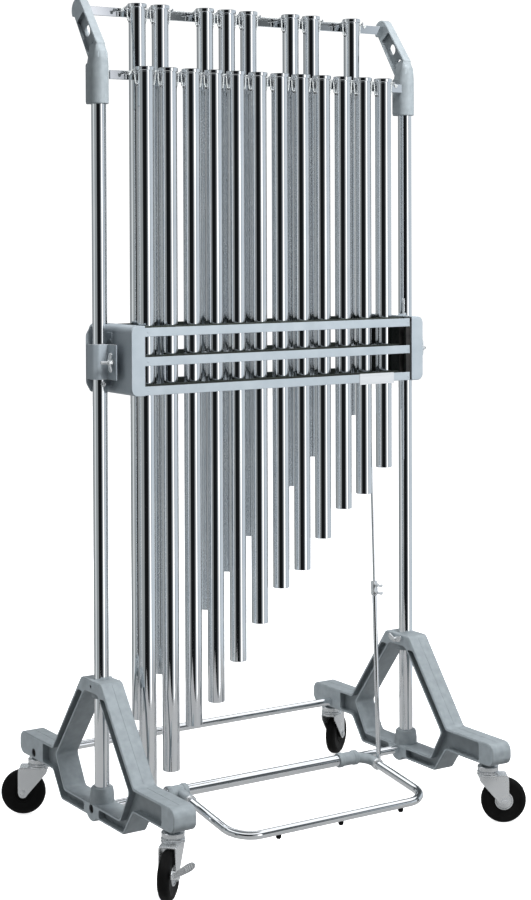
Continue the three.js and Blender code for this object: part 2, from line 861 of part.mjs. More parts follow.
// Drawn with the stem on the Z axis and the wheel trailing towards +X.
function forkGeometry() {
  const c = CASTER;
  const inner = c.wheelHalf + 2;
  const neck = c.wheelRadius * 2 + 4;
  const plateShape = shapeOf([
    [-23, neck + 4],
    [c.trail - 9, c.wheelRadius - 6],
    [c.trail - 4, c.wheelRadius - 10],
    [c.trail + 4, c.wheelRadius - 10],
    [c.trail + 9, c.wheelRadius - 6],
    [25, neck + 4],
  ].map(([x, z]) => [-x, z]));
  const plate = (y) => prism(plateShape, 'xz', y, y + c.plate);
  const pinReach = inner + c.plate + 3;
  return join(
    rod([0, 0, neck + 8], [0, 0, c.headTop], 24, 14),
    rod([0, 0, neck], [0, 0, neck + 10], 25, 14),
    box(-20, 22, -inner - c.plate, inner + c.plate, neck, neck + 5),
    plate(-inner - c.plate),
    plate(inner),
    rod([c.trail, -pinReach, c.wheelRadius], [c.trail, pinReach, c.wheelRadius], 5),
  );
}

function wheelGeometry() {
  const c = CASTER;
  const h = c.wheelHalf;
  const profile = [
    [5 + GAP, -h],
    [20, -h],
    [22, -h + 2],
    [c.wheelRadius - 6, -h + 2],
    [c.wheelRadius, -h + 8],
    [c.wheelRadius, h - 8],
    [c.wheelRadius - 6, h - 2],
    [22, h - 2],
    [20, h],
    [5 + GAP, h],
    [5 + GAP, -h],
  ].map(([r, y]) => new THREE.Vector2(r, y));
  return new THREE.LatheGeometry(profile, 20);
}

function brakeGeometry() {
  const y = CASTER.wheelHalf + 2 + CASTER.plate + GAP;
  const lever = new THREE.Shape();
  lever.absarc(0, 0, 10, Math.PI / 2, 1.5 * Math.PI);
  lever.lineTo(14, -7);
  lever.lineTo(54, -9);
  lever.lineTo(57, 0);
  lever.lineTo(54, 9);
  lever.lineTo(14, 7);
  const arm = prism(lever, 'xz', y, y + 3).rotateZ(Math.PI).translate(0, 2 * y + 3, 0);
  const pad = box(38, 57, y, y + 18, -1.5, 1.5);
  const hole = rod([0, y - 5, 0], [0, y + 30, 0], 5 + GAP, 12);
  return cut(join(arm, pad), hole);
}

// The heading and the brake lever's angle are in degrees; a caster with no brake has null.
function addCaster(name, x, y, heading, brakeAngle) {
  const caster = new THREE.Group();
  caster.position.set(x, y, 0);
  caster.rotation.z = THREE.MathUtils.degToRad(heading);
  stand.add(caster);
  addPiece(caster, `${name}_caster_fork`, forkGeometry(), 'zinc');
  const wheel = addPiece(caster, `${name}_caster_wheel`, wheelGeometry(), 'rubber');
  wheel.position.set(CASTER.trail, 0, CASTER.wheelRadius);
  if (brakeAngle !== null) {
    const brake = addPiece(caster, `${name}_caster_brake`, brakeGeometry(), 'zinc');
    brake.position.set(CASTER.trail, 0, CASTER.wheelRadius);
    brake.rotation.y = -THREE.MathUtils.degToRad(brakeAngle);
  }
}

// ---------------------------------------------------------------- assembly

// A pair of pieces: the left one is drawn around its own post and the right one mirrors it.
function addPair(name, geometry, finish, x) {
  addPiece(stand, `left_${name}`, geometry, finish).position.x = x;
  addPiece(stand, `right_${name}`, mirrored(geometry, 'x'), finish).position.x = -x;
}

addBells(FRONT_ROW, NATURAL_NAMES, NATURALS.map((_, i) => i), NATURALS);
addBells(REAR_ROW, SHARP_NAMES, SHARP_PLACES, SHARPS);

for (const [row, hooks, places, word] of [
  [FRONT_ROW, FRONT_HOOKS, NATURALS.map((_, i) => i), 'front'],
  [REAR_ROW, REAR_HOOKS, SHARP_PLACES, 'rear'],
]) {
  addPiece(stand, `${word}_rail`, railGeometry(row, hooks), 'chrome');
  addPiece(stand, `${word}_cord`, cordGeometry(row, hooks, places), 'cord');
}

addPair('end_casting', castingGeometry(), 'casting', -POST.x);
addPair('top_bracket', bracketGeometry(), 'casting', -POST.x);
addPair('post', rod([0, 0, POST.bottom], [0, 0, POST.top], POST.radius, 20), 'chrome', -POST.x);

const frameReach = POST.x + CASTING.halfWidth - 4;
addPiece(
  stand,
  'rear_cross_bar',
  rod(
    [-frameReach, CROSS_BAR.y, CROSS_BAR.z],
    [frameReach, CROSS_BAR.y, CROSS_BAR.z],
    CROSS_BAR.radius,
  ),
  'chrome',
);
addPiece(
  stand,
  'pedal_axle',
  rod([-frameReach, 0, AXLE.z], [frameReach, 0, AXLE.z], AXLE.radius),
  'chrome',
);

const frontGrille = grilleGeometry();
addPiece(stand, 'front_grille', frontGrille, 'sheet');
addPiece(stand, 'rear_grille', mirrored(frontGrille, 'y'), 'sheet');
const tuckedDepth = BOX.halfDepth - BOX.barThickness - GAP;
addPiece(stand, 'left_box_end', mirrored(endPlateGeometry(tuckedDepth), 'x'), 'sheet');
addPiece(stand, 'right_box_end', endPlateGeometry(BOX.halfDepth + 2), 'sheet');
const clamp = clampGeometry();
addPiece(stand, 'left_post_clamp', mirrored(clamp, 'x'), 'sheet');
addPiece(stand, 'right_post_clamp', clamp, 'sheet');

const frontFace = FRONT_ROW.y - BELL.radius - GAP;
const rearFace = REAR_ROW.y + BELL.radius + GAP;
addPiece(stand, 'front_damper', damperGeometry(frontFace), 'felt');
addPiece(stand, 'rear_damper', mirrored(damperGeometry(-rearFace), 'y'), 'felt');
addPiece(stand, 'damper_shaft', shaftGeometry(), 'zinc');

addPiece(stand, 'pedal_sleeve', sleeveGeometry(), 'casting');
addPiece(stand, 'pedal_loop', pedalLoopGeometry(), 'chrome');
addPiece(stand, 'link_lower_tube', linkLowerGeometry(), 'chrome');
addPiece(stand, 'link_upper_rod', linkUpperGeometry(), 'chrome');
addPiece(stand, 'link_clamp', linkClampGeometry(), 'zinc');

for (const [word, side] of [['left', -1], ['right', 1]]) {
  const screw = addPiece(stand, `${word}_post_screw`, wingGeometry(15, 6), 'zinc');
  screw.position.set(side * (POST.x - CASTING.halfWidth - 8 + 2), 0, SCREW.z);
  screw.rotation.z = -side * (Math.PI / 2);
  const nutX = side < 0 ? CLAMP.leftNut : CLAMP.rightNut;
  const shank = nutX - CLAMP.earX - CLAMP.sheet / 2 - 1;
  const nutGeometry = wingGeometry(shank, side < 0 ? 21 : 9, CLAMP.wingScale);
  const nut = addPiece(stand, `${word}_clamp_nut`, nutGeometry, 'zinc');
  nut.position.set(side * nutX, CLAMP.nutY, CLAMP.bottom + CLAMP.height / 2);
  nut.rotation.set(0, Math.PI / 2, side * (Math.PI / 2), 'ZYX');
}

addCaster('front_left', -POST.x, CASTER.frontY, 224.5, 20);
addCaster('front_right', POST.x, CASTER.frontY, -32.7, -20);
addCaster('rear_left', -POST.x, CASTER.rearY, 147.3, null);
addCaster('rear_right', POST.x, CASTER.rearY, 34, null);

// The origin is on the floor, under the middle of the whole stand.
const bounds = new THREE.Box3().setFromObject(stand);
const middle = bounds.getCenter(new THREE.Vector3());
stand.position.set(-middle.x, -middle.y, -bounds.min.z);

export default stand;
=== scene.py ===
"""Looks of the tubular bells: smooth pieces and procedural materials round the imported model.

Lengths are millimetres in the drawing's frame: the origin is on the floor midway between the two
posts, +X to the player's right, +Y away from the player. Pieces are turned into metres when made.
"""

import json
import math

import bpy
from mathutils import Matrix, Vector


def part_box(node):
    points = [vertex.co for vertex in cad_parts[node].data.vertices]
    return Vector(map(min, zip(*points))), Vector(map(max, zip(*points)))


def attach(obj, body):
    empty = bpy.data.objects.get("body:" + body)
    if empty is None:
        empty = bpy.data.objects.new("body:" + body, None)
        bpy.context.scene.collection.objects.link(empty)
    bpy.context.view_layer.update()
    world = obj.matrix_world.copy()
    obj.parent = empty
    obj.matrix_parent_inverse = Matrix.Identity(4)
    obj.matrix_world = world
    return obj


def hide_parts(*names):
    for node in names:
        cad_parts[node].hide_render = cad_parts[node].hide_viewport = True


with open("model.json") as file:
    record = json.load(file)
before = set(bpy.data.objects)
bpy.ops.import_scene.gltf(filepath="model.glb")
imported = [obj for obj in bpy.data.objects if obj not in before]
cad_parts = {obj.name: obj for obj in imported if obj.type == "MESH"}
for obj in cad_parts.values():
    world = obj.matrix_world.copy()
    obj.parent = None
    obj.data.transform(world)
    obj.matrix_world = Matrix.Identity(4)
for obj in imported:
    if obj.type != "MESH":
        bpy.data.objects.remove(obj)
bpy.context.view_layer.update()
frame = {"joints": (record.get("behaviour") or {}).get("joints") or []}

MM = 0.001
RIGHT_ANGLE = math.pi / 2
SIDES = ((-1, "left"), (1, "right"))
left_low, left_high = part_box("left_post")
_, right_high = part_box("right_post")
ORIGIN = Vector(((left_low.x + right_high.x) / 2, (left_low.y + left_high.y) / 2, 0))
JOINTS = {joint["name"]: joint for joint in frame["joints"]}

# ---------- driving dimensions

BELL_RADIUS = 19
BELL_INNER = 17.5
CAP_RADIUS = 21.5
CAP_HEIGHT = 9
PITCH = 58.35
HOLE_DROP = 40
APEX_DROP = 9
CORD_RADIUS = 1.5
KNOT_SIZE = 1.25
KNOT_REACH = 9
KNOT_DROP = 7
HOOK_RADIUS = 2
RAIL_HEIGHT = 20
RAIL_THICKNESS = 6
NOTES = {
    "front": ["c5", "d5", "e5", "f5", "g5", "a5", "b5", "c6", "d6", "e6", "f6", "g6"],
    "rear": ["cs5", "ds5", "fs5", "gs5", "as5", "cs6", "ds6", "fs6"],
}
ROWS = {
    "front": {
        "y": -38.4,
        "top": 1707,
        "back": -10,
        "half": 393.7,
        "places": list(range(12)),
        "hooks": list(range(13)),
    },
    "rear": {
        "y": 48,
        "top": 1854,
        "back": 78,
        "half": 403.2,
        "places": [0.5, 1.5, 3.5, 4.5, 5.5, 7.5, 8.5, 10.5],
        "hooks": [i + 0.5 for i in range(12)],
    },
}
POST_X = 414
POST_RADIUS = 16.3
POST_BOTTOM = 112
POST_TOP = 1700
AXLE_Z = 98
BAR_Y = 285
BAR_Z = 152
BAR_RADIUS = 9.5
BOX_HALF = 390
BOX_DEPTH = 99.5
BOX_BOTTOM = 997
BOX_TOP = 1147
BOX_FLANGE = 33
BOX_SHEET = 2.5
BAR_HEIGHT = 19
BAR_PITCH = 63
SHAFT_Y = 3.6
SHAFT_Z = 1070
WHEEL_RADIUS = 51.4
WHEEL_HALF = 14
CASTER_TRAIL = 35
FORK_TOP = 129.7

# ---------- solids in millimetres


def scratch(solid):
    """A temporary object of a solid, in millimetres."""
    mesh = bpy.data.meshes.new("scratch")
    mesh.from_pydata([tuple(v) for v in solid[0]], [], solid[1])
    mesh.update()
    thing = bpy.data.objects.new("scratch", mesh)
    bpy.context.scene.collection.objects.link(thing)
    return thing


def evaluated(thing, *helpers):
    """The solid of an object with its modifiers applied; the objects are deleted."""
    depsgraph = bpy.context.evaluated_depsgraph_get()
    mesh = bpy.data.meshes.new_from_object(thing.evaluated_get(depsgraph))
    verts = [v.co.copy() for v in mesh.vertices]
    faces = [tuple(p.vertices) for p in mesh.polygons]
    bpy.data.meshes.remove(mesh)
    for used in (thing, *helpers):
        data = used.data
        bpy.data.objects.remove(used)
        bpy.data.meshes.remove(data)
    return verts, faces


def boolean(operation, base, *tools):
    """The base with each tool taken away, or added, in turn."""
    body = scratch(base)
    helpers = [scratch(tool) for tool in tools]
    for helper in helpers:
        modifier = body.modifiers.new("join", "BOOLEAN")
        modifier.operation = operation
        modifier.solver = "EXACT"
        modifier.object = helper
    return evaluated(body, *helpers)


def cut(base, *tools):
    return boolean("DIFFERENCE", base, *tools)


def join(base, *others):
    return boolean("UNION", base, *others)


def softened(solid, width, angle):
    """Rounds every edge that is sharper than the angle."""
    body = scratch(solid)
    weld = body.modifiers.new("weld", "WELD")
    weld.merge_threshold = 0.01
    bevel = body.modifiers.new("soften", "BEVEL")
    bevel.width = width
    bevel.segments = 2
    bevel.limit_method = "ANGLE"
    bevel.angle_limit = math.radians(angle)
    bevel.miter_outer = "MITER_ARC"
    return evaluated(body)


def gathered(*solids):
    """Several solids that lie side by side, as one."""
    verts, faces = [], []
    for some_verts, some_faces in solids:
        start = len(verts)
        verts.extend(Vector(v) for v in some_verts)
        faces.extend(tuple(i + start for i in face) for face in some_faces)
    return verts, faces


def moved(solid, matrix):
    """A solid placed by a matrix; a mirror also turns its faces over."""
    verts, faces = solid
    if matrix.determinant() < 0:
        faces = [tuple(reversed(face)) for face in faces]
    return [matrix @ Vector(v) for v in verts], faces


def shifted(solid, x=0, y=0, z=0):
    return moved(solid, Matrix.Translation((x, y, z)))


def mirrored(solid, axis="x"):
    signs = (-1 if axis == "x" else 1, -1 if axis == "y" else 1, 1, 1)
    return moved(solid, Matrix.Diagonal(signs))


def side_faces(rings, around, closed=False):
    """The quads between a stack of rings with the same number of points around."""
    faces = []
    for j in range(rings if closed else rings - 1):
        low, high = j * around, (j + 1) % rings * around
        for i in range(around):
            after = (i + 1) % around
            faces.append((low + i, low + after, high + after, high + i))
    return faces


def end_faces(rings, around):
    """The two faces that close a stack of rings."""
    first = range(around)
    return [tuple(reversed(first)), tuple(range((rings - 1) * around, rings * around))]


def lathe(profile, segments=48, to="z"):
    """Turns an outline of (radius, height) points round an axis; it starts and ends on the axis
    or closes on itself."""
    capped = profile[0][0] == 0 and profile[-1][0] == 0
    rings = profile[1:-1] if capped else profile
    verts = []
    for radius, height in rings:
        for i in range(segments):
            angle = 2 * math.pi * i / segments
            verts.append(Vector((radius * math.cos(angle), radius * math.sin(angle), height)))
    faces = side_faces(len(rings), segments, not capped)
    if capped:
        faces += end_faces(len(rings), segments)
        inside_out = profile[0][1] > profile[-1][1]
    else:
        pairs = zip(profile, profile[1:] + profile[:1])
        inside_out = sum(a[0] * b[1] - b[0] * a[1] for a, b in pairs) < 0
    if inside_out:
        faces = [face[::-1] for face in faces]
    turn = {"x": Matrix.Rotation(RIGHT_ANGLE, 4, "Y"), "y": Matrix.Rotation(-RIGHT_ANGLE, 4, "X")}
    return moved((verts, faces), turn[to]) if to in turn else (verts, faces)


def span(start, end):
    """The distance between two points, and the matrix that stands +Z along it."""
    start, end = Vector(start), Vector(end)
    turn = (end - start).to_track_quat("Z", "Y").to_matrix().to_4x4()
    return (end - start).length, Matrix.Translation(start) @ turn


def rod(start, end, radius, segments=32, chamfer=0.8):
    """A round bar between two points with chamfered ends."""
    length, place = span(start, end)
    profile = [(0, 0), (radius - chamfer, 0), (radius, chamfer)]
    profile += [(radius, length - chamfer), (radius - chamfer, length), (0, length)]
    return moved(lathe(profile, segments), place)


def pipe(start, end, radius, wall, segments=40, lip=0.5):
    """A hollow tube between two points."""
    length, place = span(start, end)
    inner = radius - wall
    profile = [
        (radius, lip), (radius, length - lip), (radius - lip, length), (inner + lip, length),
        (inner, length - lip), (inner, lip), (inner + lip, 0), (radius - lip, 0),
    ]
    return moved(lathe(profile, segments), place)


def swept(points, radius, segments=12):
    """A round section carried along a path without twisting."""
    points = [Vector(p) for p in points]
    tangents = [
        (points[min(i + 1, len(points) - 1)] - points[max(i - 1, 0)]).normalized()
        for i in range(len(points))
    ]
    side = tangents[0].orthogonal().normalized()
    verts = []
    for point, tangent in zip(points, tangents):
        side = (side - tangent * side.dot(tangent)).normalized()
        other = tangent.cross(side)
        for k in range(segments):
            angle = 2 * math.pi * k / segments
            verts.append(point + (side * math.cos(angle) + other * math.sin(angle)) * radius)
    count = len(points)
    return verts, side_faces(count, segments) + end_faces(count, segments)


def smooth_path(points, steps):
    """Points on a Catmull-Rom curve through the given points."""
    points = [Vector(p) for p in points]
    path = []
    for i in range(len(points) - 1):
        a = points[max(i - 1, 0)]
        b, c = points[i], points[i + 1]
        d = points[min(i + 2, len(points) - 1)]
        for k in range(steps):
            t = k / steps
            square, cube = 2 * a - 5 * b + 4 * c - d, 3 * b - a - 3 * c + d
            path.append(0.5 * (2 * b + (c - a) * t + square * t * t + cube * t**3))
    path.append(points[-1])
    return path


PLANES = {
    "xy": Matrix(((1, 0, 0, 0), (0, 1, 0, 0), (0, 0, 1, 0), (0, 0, 0, 1))),
    "yz": Matrix(((0, 0, 1, 0), (1, 0, 0, 0), (0, 1, 0, 0), (0, 0, 0, 1))),
    "xz": Matrix(((1, 0, 0, 0), (0, 0, -1, 0), (0, 1, 0, 0), (0, 0, 0, 1))),
}


def extruded(loops, plane, low, high, bevel=0.0, steps=2):
    """A flat outline with holes, drawn in a plane and carried from low to high with round edges.

    In the xz plane low and high are measured along -Y."""
    curve = bpy.data.curves.new("outline", "CURVE")
    curve.dimensions = "2D"
    curve.fill_mode = "BOTH"
    curve.extrude = (high - low) / 2 - bevel
    curve.bevel_depth = bevel
    curve.bevel_resolution = steps
    curve.offset = -bevel
    for loop in loops:
        spline = curve.splines.new("POLY")
        spline.points.add(len(loop) - 1)
        for point, (u, v) in zip(spline.points, loop):
            point.co = (u, v, 0, 1)
        spline.use_cyclic_u = True
    thing = bpy.data.objects.new("outline", curve)
    mesh = bpy.data.meshes.new_from_object(thing)
    verts = [v.co.copy() for v in mesh.vertices]
    faces = [tuple(p.vertices) for p in mesh.polygons]
    bpy.data.objects.remove(thing)
    bpy.data.curves.remove(curve)
    bpy.data.meshes.remove(mesh)
    middle = Matrix.Translation((0, 0, (low + high) / 2))
    body = scratch(moved((verts, faces), PLANES[plane] @ middle))
    weld = body.modifiers.new("weld", "WELD")
    weld.merge_threshold = 0.002
    return evaluated(body)


def box(x0, x1, y0, y1, z0, z1, bevel, steps=1):
    """A block with round edges."""
    loop = [(x0, y0), (x1, y0), (x1, y1), (x0, y1)]
    return extruded([loop], "xy", z0, z1, bevel, steps)


def arc(centre, radius, start, end, steps=8):
    """Points on a circular arc, in degrees."""
    angles = [math.radians(start + (end - start) * i / steps) for i in range(steps + 1)]
    return [(centre[0] + radius * math.cos(a), centre[1] + radius * math.sin(a)) for a in angles]


def rounded(u0, u1, v0, v1, radius, steps=6):
    """A rectangle with round corners."""
    u0, u1, v0, v1 = u0 + radius, u1 - radius, v0 + radius, v1 - radius
    outline = []
    for i, centre in enumerate(((u1, v0), (u1, v1), (u0, v1), (u0, v0))):
        outline += arc(centre, radius, 90 * i - 90, 90 * i, steps)
    return outline


def offset(points, distance):
    """Moves every edge of an anticlockwise outline inwards."""
    count = len(points)
    edges = []
    for i, (u, v) in enumerate(points):
        du, dv = points[(i + 1) % count][0] - u, points[(i + 1) % count][1] - v
        length = math.hypot(du, dv)
        du, dv = du / length, dv / length
        edges.append((u - dv * distance, v + du * distance, du, dv))
    moved_points = []
    for i, (u, v, du, dv) in enumerate(edges):
        u0, v0, du0, dv0 = edges[i - 1]
        turn = du0 * dv - dv0 * du
        if abs(turn) < 1e-6:
            moved_points.append((u, v))
            continue
        along = ((u - u0) * dv - (v - v0) * du) / turn
        moved_points.append((u0 + du0 * along, v0 + dv0 * along))
    return moved_points


def corner_curve(before, here, after, radius, steps, share):
    """A short curve in place of a corner, on at most a share of the edges that meet there."""
    before, here, after = Vector(before), Vector(here), Vector(after)
    reach = min(radius, (before - here).length * share, (after - here).length * share)
    start = here + (before - here).normalized() * reach
    end = here + (after - here).normalized() * reach
    curve = []
    for k in range(steps + 1):
        t = k / steps
        spot = start * (1 - t) ** 2 + here * 2 * t * (1 - t) + end * t * t
        curve.append((spot.x, spot.y))
    return curve


def corner_rounded(points, radius, steps=4):
    """A closed outline with each corner replaced by a short curve."""
    outline = []
    for i, here in enumerate(points):
        after = points[(i + 1) % len(points)]
        outline += corner_curve(points[i - 1], here, after, radius, steps, 0.4)
    return outline


def open_rounded(path, radius):
    """An open path with each inner corner replaced by a short curve."""
    bent = [path[0]]
    for before, here, after in zip(path, path[1:], path[2:]):
        bent += corner_curve(before, here, after, radius, 4, 0.45)
    return bent + [path[-1]]


def flipped(points):
    return [(-u, v) for u, v in reversed(points)]


# ---------- pieces


def piece(name, solid, material, body, nodes, sharp=32):
    """Makes a scene object of a solid, rides it on a body and lets it stand for CAD nodes."""
    mesh = bpy.data.meshes.new(name)
    mesh.from_pydata([ORIGIN + Vector(v) * MM for v in solid[0]], [], solid[1])
    mesh.validate()
    mesh.update()
    mesh.polygons.foreach_set("use_smooth", [True] * len(mesh.polygons))
    mesh.set_sharp_from_angle(angle=math.radians(sharp))
    mesh.materials.append(material)
    thing = bpy.data.objects.new(name, mesh)
    bpy.context.scene.collection.objects.link(thing)
    even = thing.modifiers.new("even_shading", "WEIGHTED_NORMAL")
    even.keep_sharp = True
    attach(thing, body)
    if nodes:
        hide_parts(*nodes)
    return thing


# ---------- materials


def colour_ramp(nodes, stops):
    """A ramp node with the colours at the given positions."""
    ramp = nodes.new("ShaderNodeValToRGB")
    elements = ramp.color_ramp.elements
    while len(elements) < len(stops):
        elements.new(0.5)
    for element, (position, colour) in zip(elements, stops):
        element.position = position
        element.color = (*colour, 1)
    return ramp


def fitted(nodes, links, value, **limits):
    """A value taken from one range to another."""
    fit = nodes.new("ShaderNodeMapRange")
    for limit, number in limits.items():
        fit.inputs[limit.replace("_", " ").title()].default_value = number
    links.new(value, fit.inputs["Value"])
    return fit.outputs["Result"]


class Look:
    """A node material built step by step; textures use the piece's own coordinates, in metres."""

    def __init__(self, name, colour, roughness, metallic=0.0):
        self.material = bpy.data.materials.new(name)
        self.material.use_nodes = True
        self.nodes = self.material.node_tree.nodes
        self.links = self.material.node_tree.links
        self.shader = self.nodes["Principled BSDF"]
        self.shader.inputs["Base Color"].default_value = (*colour, 1)
        self.shader.inputs["Roughness"].default_value = roughness
        self.shader.inputs["Metallic"].default_value = metallic
        self.place = self.nodes.new("ShaderNodeTexCoord").outputs["Object"]
        self.height = None

    def noise(self, scale, detail, stretch=(1, 1, 1)):
        mapping = self.nodes.new("ShaderNodeMapping")
        mapping.inputs["Scale"].default_value = stretch
        self.links.new(self.place, mapping.inputs["Vector"])
        noise = self.nodes.new("ShaderNodeTexNoise")
        noise.inputs["Scale"].default_value = scale
        noise.inputs["Detail"].default_value = detail
        self.links.new(mapping.outputs["Vector"], noise.inputs["Vector"])
        return noise.outputs["Fac"]

    def vary_colour(self, value, first, second, start=0.3, stop=0.7):
        ramp = colour_ramp(self.nodes, [(start, first), (stop, second)])
        self.links.new(value, ramp.inputs["Fac"])
        self.links.new(ramp.outputs["Color"], self.shader.inputs["Base Color"])

    def vary_roughness(self, value, low, high):
        limits = {"from_min": 0.3, "from_max": 0.7, "to_min": low, "to_max": high}
        rough = fitted(self.nodes, self.links, value, **limits)
        self.links.new(rough, self.shader.inputs["Roughness"])

    def bump(self, value, depth, strength):
        """Adds relief of a depth in metres on top of any earlier relief."""
        bump = self.nodes.new("ShaderNodeBump")
        bump.inputs["Strength"].default_value = strength
        bump.inputs["Distance"].default_value = depth
        self.links.new(value, bump.inputs["Height"])
        if self.height is not None:
            self.links.new(self.height, bump.inputs["Normal"])
        self.height = bump.outputs["Normal"]
        self.links.new(self.height, self.shader.inputs["Normal"])


def chrome_look(name, stretch):
    """Chrome plate: near mirror, with faint haze and the slight waviness of drawn tube."""
    look = Look(name, (0.83, 0.85, 0.87), 0.05, 1.0)
    haze = look.noise(14, 3)
    look.vary_colour(haze, (0.80, 0.825, 0.85), (0.86, 0.875, 0.885))
    look.vary_roughness(haze, 0.03, 0.07)
    look.bump(look.noise(5, 0, stretch), 0.0004, 0.05)
    return look.material


def blasted_look(name, tone):
    """Cast aluminium: a fine blasted grain over a faint cloudiness."""
    look = Look(name, (0.30 * tone,) * 3, 0.42, 0.25)
    dark, light = 0.255 * tone, 0.315 * tone
    mottle = look.noise(70, 5)
    look.vary_colour(mottle, (dark, dark * 1.13, dark * 1.2), (light, light * 1.12, light * 1.19))
    look.vary_roughness(look.noise(140, 3), 0.36, 0.5)
    look.bump(look.noise(1200, 2), 0.00008, 0.7)
    look.bump(look.noise(90, 2, (1, 1, 0.3)), 0.0002, 0.35)
    return look.material


def sheet_look():
    look = Look("sheet_paint", (0.36, 0.40, 0.45), 0.42, 0.2)
    look.vary_colour(look.noise(22, 6), (0.33, 0.378, 0.415), (0.385, 0.433, 0.47))
    look.vary_roughness(look.noise(60, 3), 0.36, 0.48)
    look.bump(look.noise(700, 2), 0.00005, 0.5)
    return look.material


def plate_look():
    """Brushed pale metal for the blank plate and the clamps' cut edges."""
    look = Look("plate_metal", (0.80, 0.82, 0.84), 0.4, 0.1)
    brushed = look.noise(260, 3, (0.05, 1, 1))
    look.vary_colour(brushed, (0.45, 0.47, 0.49), (0.52, 0.54, 0.56))
    look.vary_roughness(brushed, 0.32, 0.45)
    look.bump(brushed, 0.00003, 0.5)
    return look.material


def zinc_look():
    look = Look("zinc", (0.76, 0.78, 0.79), 0.25, 0.75)
    grain = look.noise(60, 4)
    look.vary_colour(grain, (0.72, 0.74, 0.755), (0.78, 0.80, 0.81))
    look.vary_roughness(grain, 0.22, 0.28)
    look.bump(look.noise(400, 1, (1, 1, 0.2)), 0.00002, 0.3)
    return look.material


def rubber_look():
    tint = 0.0035
    look = Look("tyre_rubber", (tint,) * 3, 0.5)
    look.shader.inputs["Specular IOR Level"].default_value = 0.12
    look.vary_colour(look.noise(35, 4), (tint * 0.7,) * 3, (tint * 1.6,) * 3)
    look.vary_roughness(look.noise(90, 3), 0.42, 0.62)
    look.bump(look.noise(900, 2), 0.00008, 0.5)
    return look.material


def felt_look():
    look = Look("felt", (0.012, 0.016, 0.014), 0.95)
    look.shader.inputs["Sheen Weight"].default_value = 0.12
    look.shader.inputs["Sheen Roughness"].default_value = 0.5
    look.vary_colour(look.noise(160, 5), (0.007, 0.010, 0.009), (0.028, 0.036, 0.03))
    look.bump(look.noise(1500, 4), 0.0006, 0.9)
    return look.material


def slat_look():
    look = Look("slat_lacquer", (0.025, 0.022, 0.02), 0.45)
    grain = look.noise(40, 6, (0.1, 1, 1.5))
    look.vary_colour(grain, (0.008, 0.008, 0.008), (0.028, 0.026, 0.024))
    look.bump(look.noise(300, 3, (0.05, 1, 1)), 0.0001, 0.5)
    return look.material


def cord_look():
    look = Look("braided_cord", (0.40, 0.42, 0.42), 0.75)
    wave = look.nodes.new("ShaderNodeTexWave")
    wave.wave_type = "BANDS"
    wave.bands_direction = "DIAGONAL"
    wave.inputs["Scale"].default_value = 160
    wave.inputs["Distortion"].default_value = 1.5
    look.links.new(look.place, wave.inputs["Vector"])
    look.vary_colour(wave.outputs["Fac"], (0.30, 0.32, 0.325), (0.50, 0.52, 0.52), 0.1, 0.8)
    look.bump(wave.outputs["Fac"], 0.0005, 0.8)
    return look.material


TUBE_CHROME = chrome_look("tube_chrome", (1, 1, 0.25))
BAR_CHROME = chrome_look("bar_chrome", (0.3, 1, 1))
CASTING_LOOK = blasted_look("cast_aluminium", 1.0)
# A lighter copy of the cast look for the flat outer flange faces: a painted highlight.
FLANGE_HIGHLIGHT_LOOK = blasted_look("flange_painted_highlight", 1.55)
SHEET_LOOK = sheet_look()
PLATE_LOOK = plate_look()
ZINC = zinc_look()
RUBBER = rubber_look()
FELT = felt_look()
SLAT = slat_look()
CORD = cord_look()

# ---------- bells, cords and rails


def place_x(place):
    """The X of a place along the rows, counted in pitches of the front row from its first bell."""
    return (place - 5.5) * PITCH


def bell_solid(length):
    """A tube with a soldered cap, a fine groove under the cap and a rounded lower lip."""
    profile = [
        (0, 0), (CAP_RADIUS - 1.6, 0), (CAP_RADIUS - 0.4, -0.5), (CAP_RADIUS, -1.6),
        (CAP_RADIUS, 1.2 - CAP_HEIGHT), (CAP_RADIUS - 0.7, 0.2 - CAP_HEIGHT),
        (BELL_RADIUS + 0.5, -CAP_HEIGHT), (BELL_RADIUS - 0.7, -CAP_HEIGHT - 0.4),
        (BELL_RADIUS - 0.7, -CAP_HEIGHT - 1.8), (BELL_RADIUS, -CAP_HEIGHT - 2.4),
        (BELL_RADIUS, 1.4 - length), (BELL_RADIUS - 0.25, 0.4 - length),
        (BELL_RADIUS - 0.75, -length), (BELL_INNER + 0.2, 0.4 - length),
        (BELL_INNER, 1.4 - length), (BELL_INNER, 2 - CAP_HEIGHT), (0, 2 - CAP_HEIGHT),
    ]
    reach = CAP_RADIUS + 3
    hole = rod((-reach, 0, -HOLE_DROP), (reach, 0, -HOLE_DROP), 3, 20, 0.5)
    return cut(lathe(profile, 72), hole)


def eyelets():
    """The turned rings that line a bell's two suspension holes."""
    profile = [(3, -1), (3, 1.2), (3.5, 1.7), (4.4, 1.6), (5, 0.9), (5, -1)]
    ring = lathe(profile, 24, "x")
    right = shifted(ring, BELL_RADIUS - 0.3, 0, -HOLE_DROP)
    return gathered(right, mirrored(right))


for row_name, row in ROWS.items():
    for name, place in zip(NOTES[row_name], row["places"]):
        node = f"bell_{name}"
        low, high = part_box(node)
        solid = gathered(bell_solid((high.z - low.z) / MM), eyelets())
        solid = shifted(solid, place_x(place), row["y"], row["top"])
        piece(f"chime_{name}", solid, TUBE_CHROME, node, [node], 28)


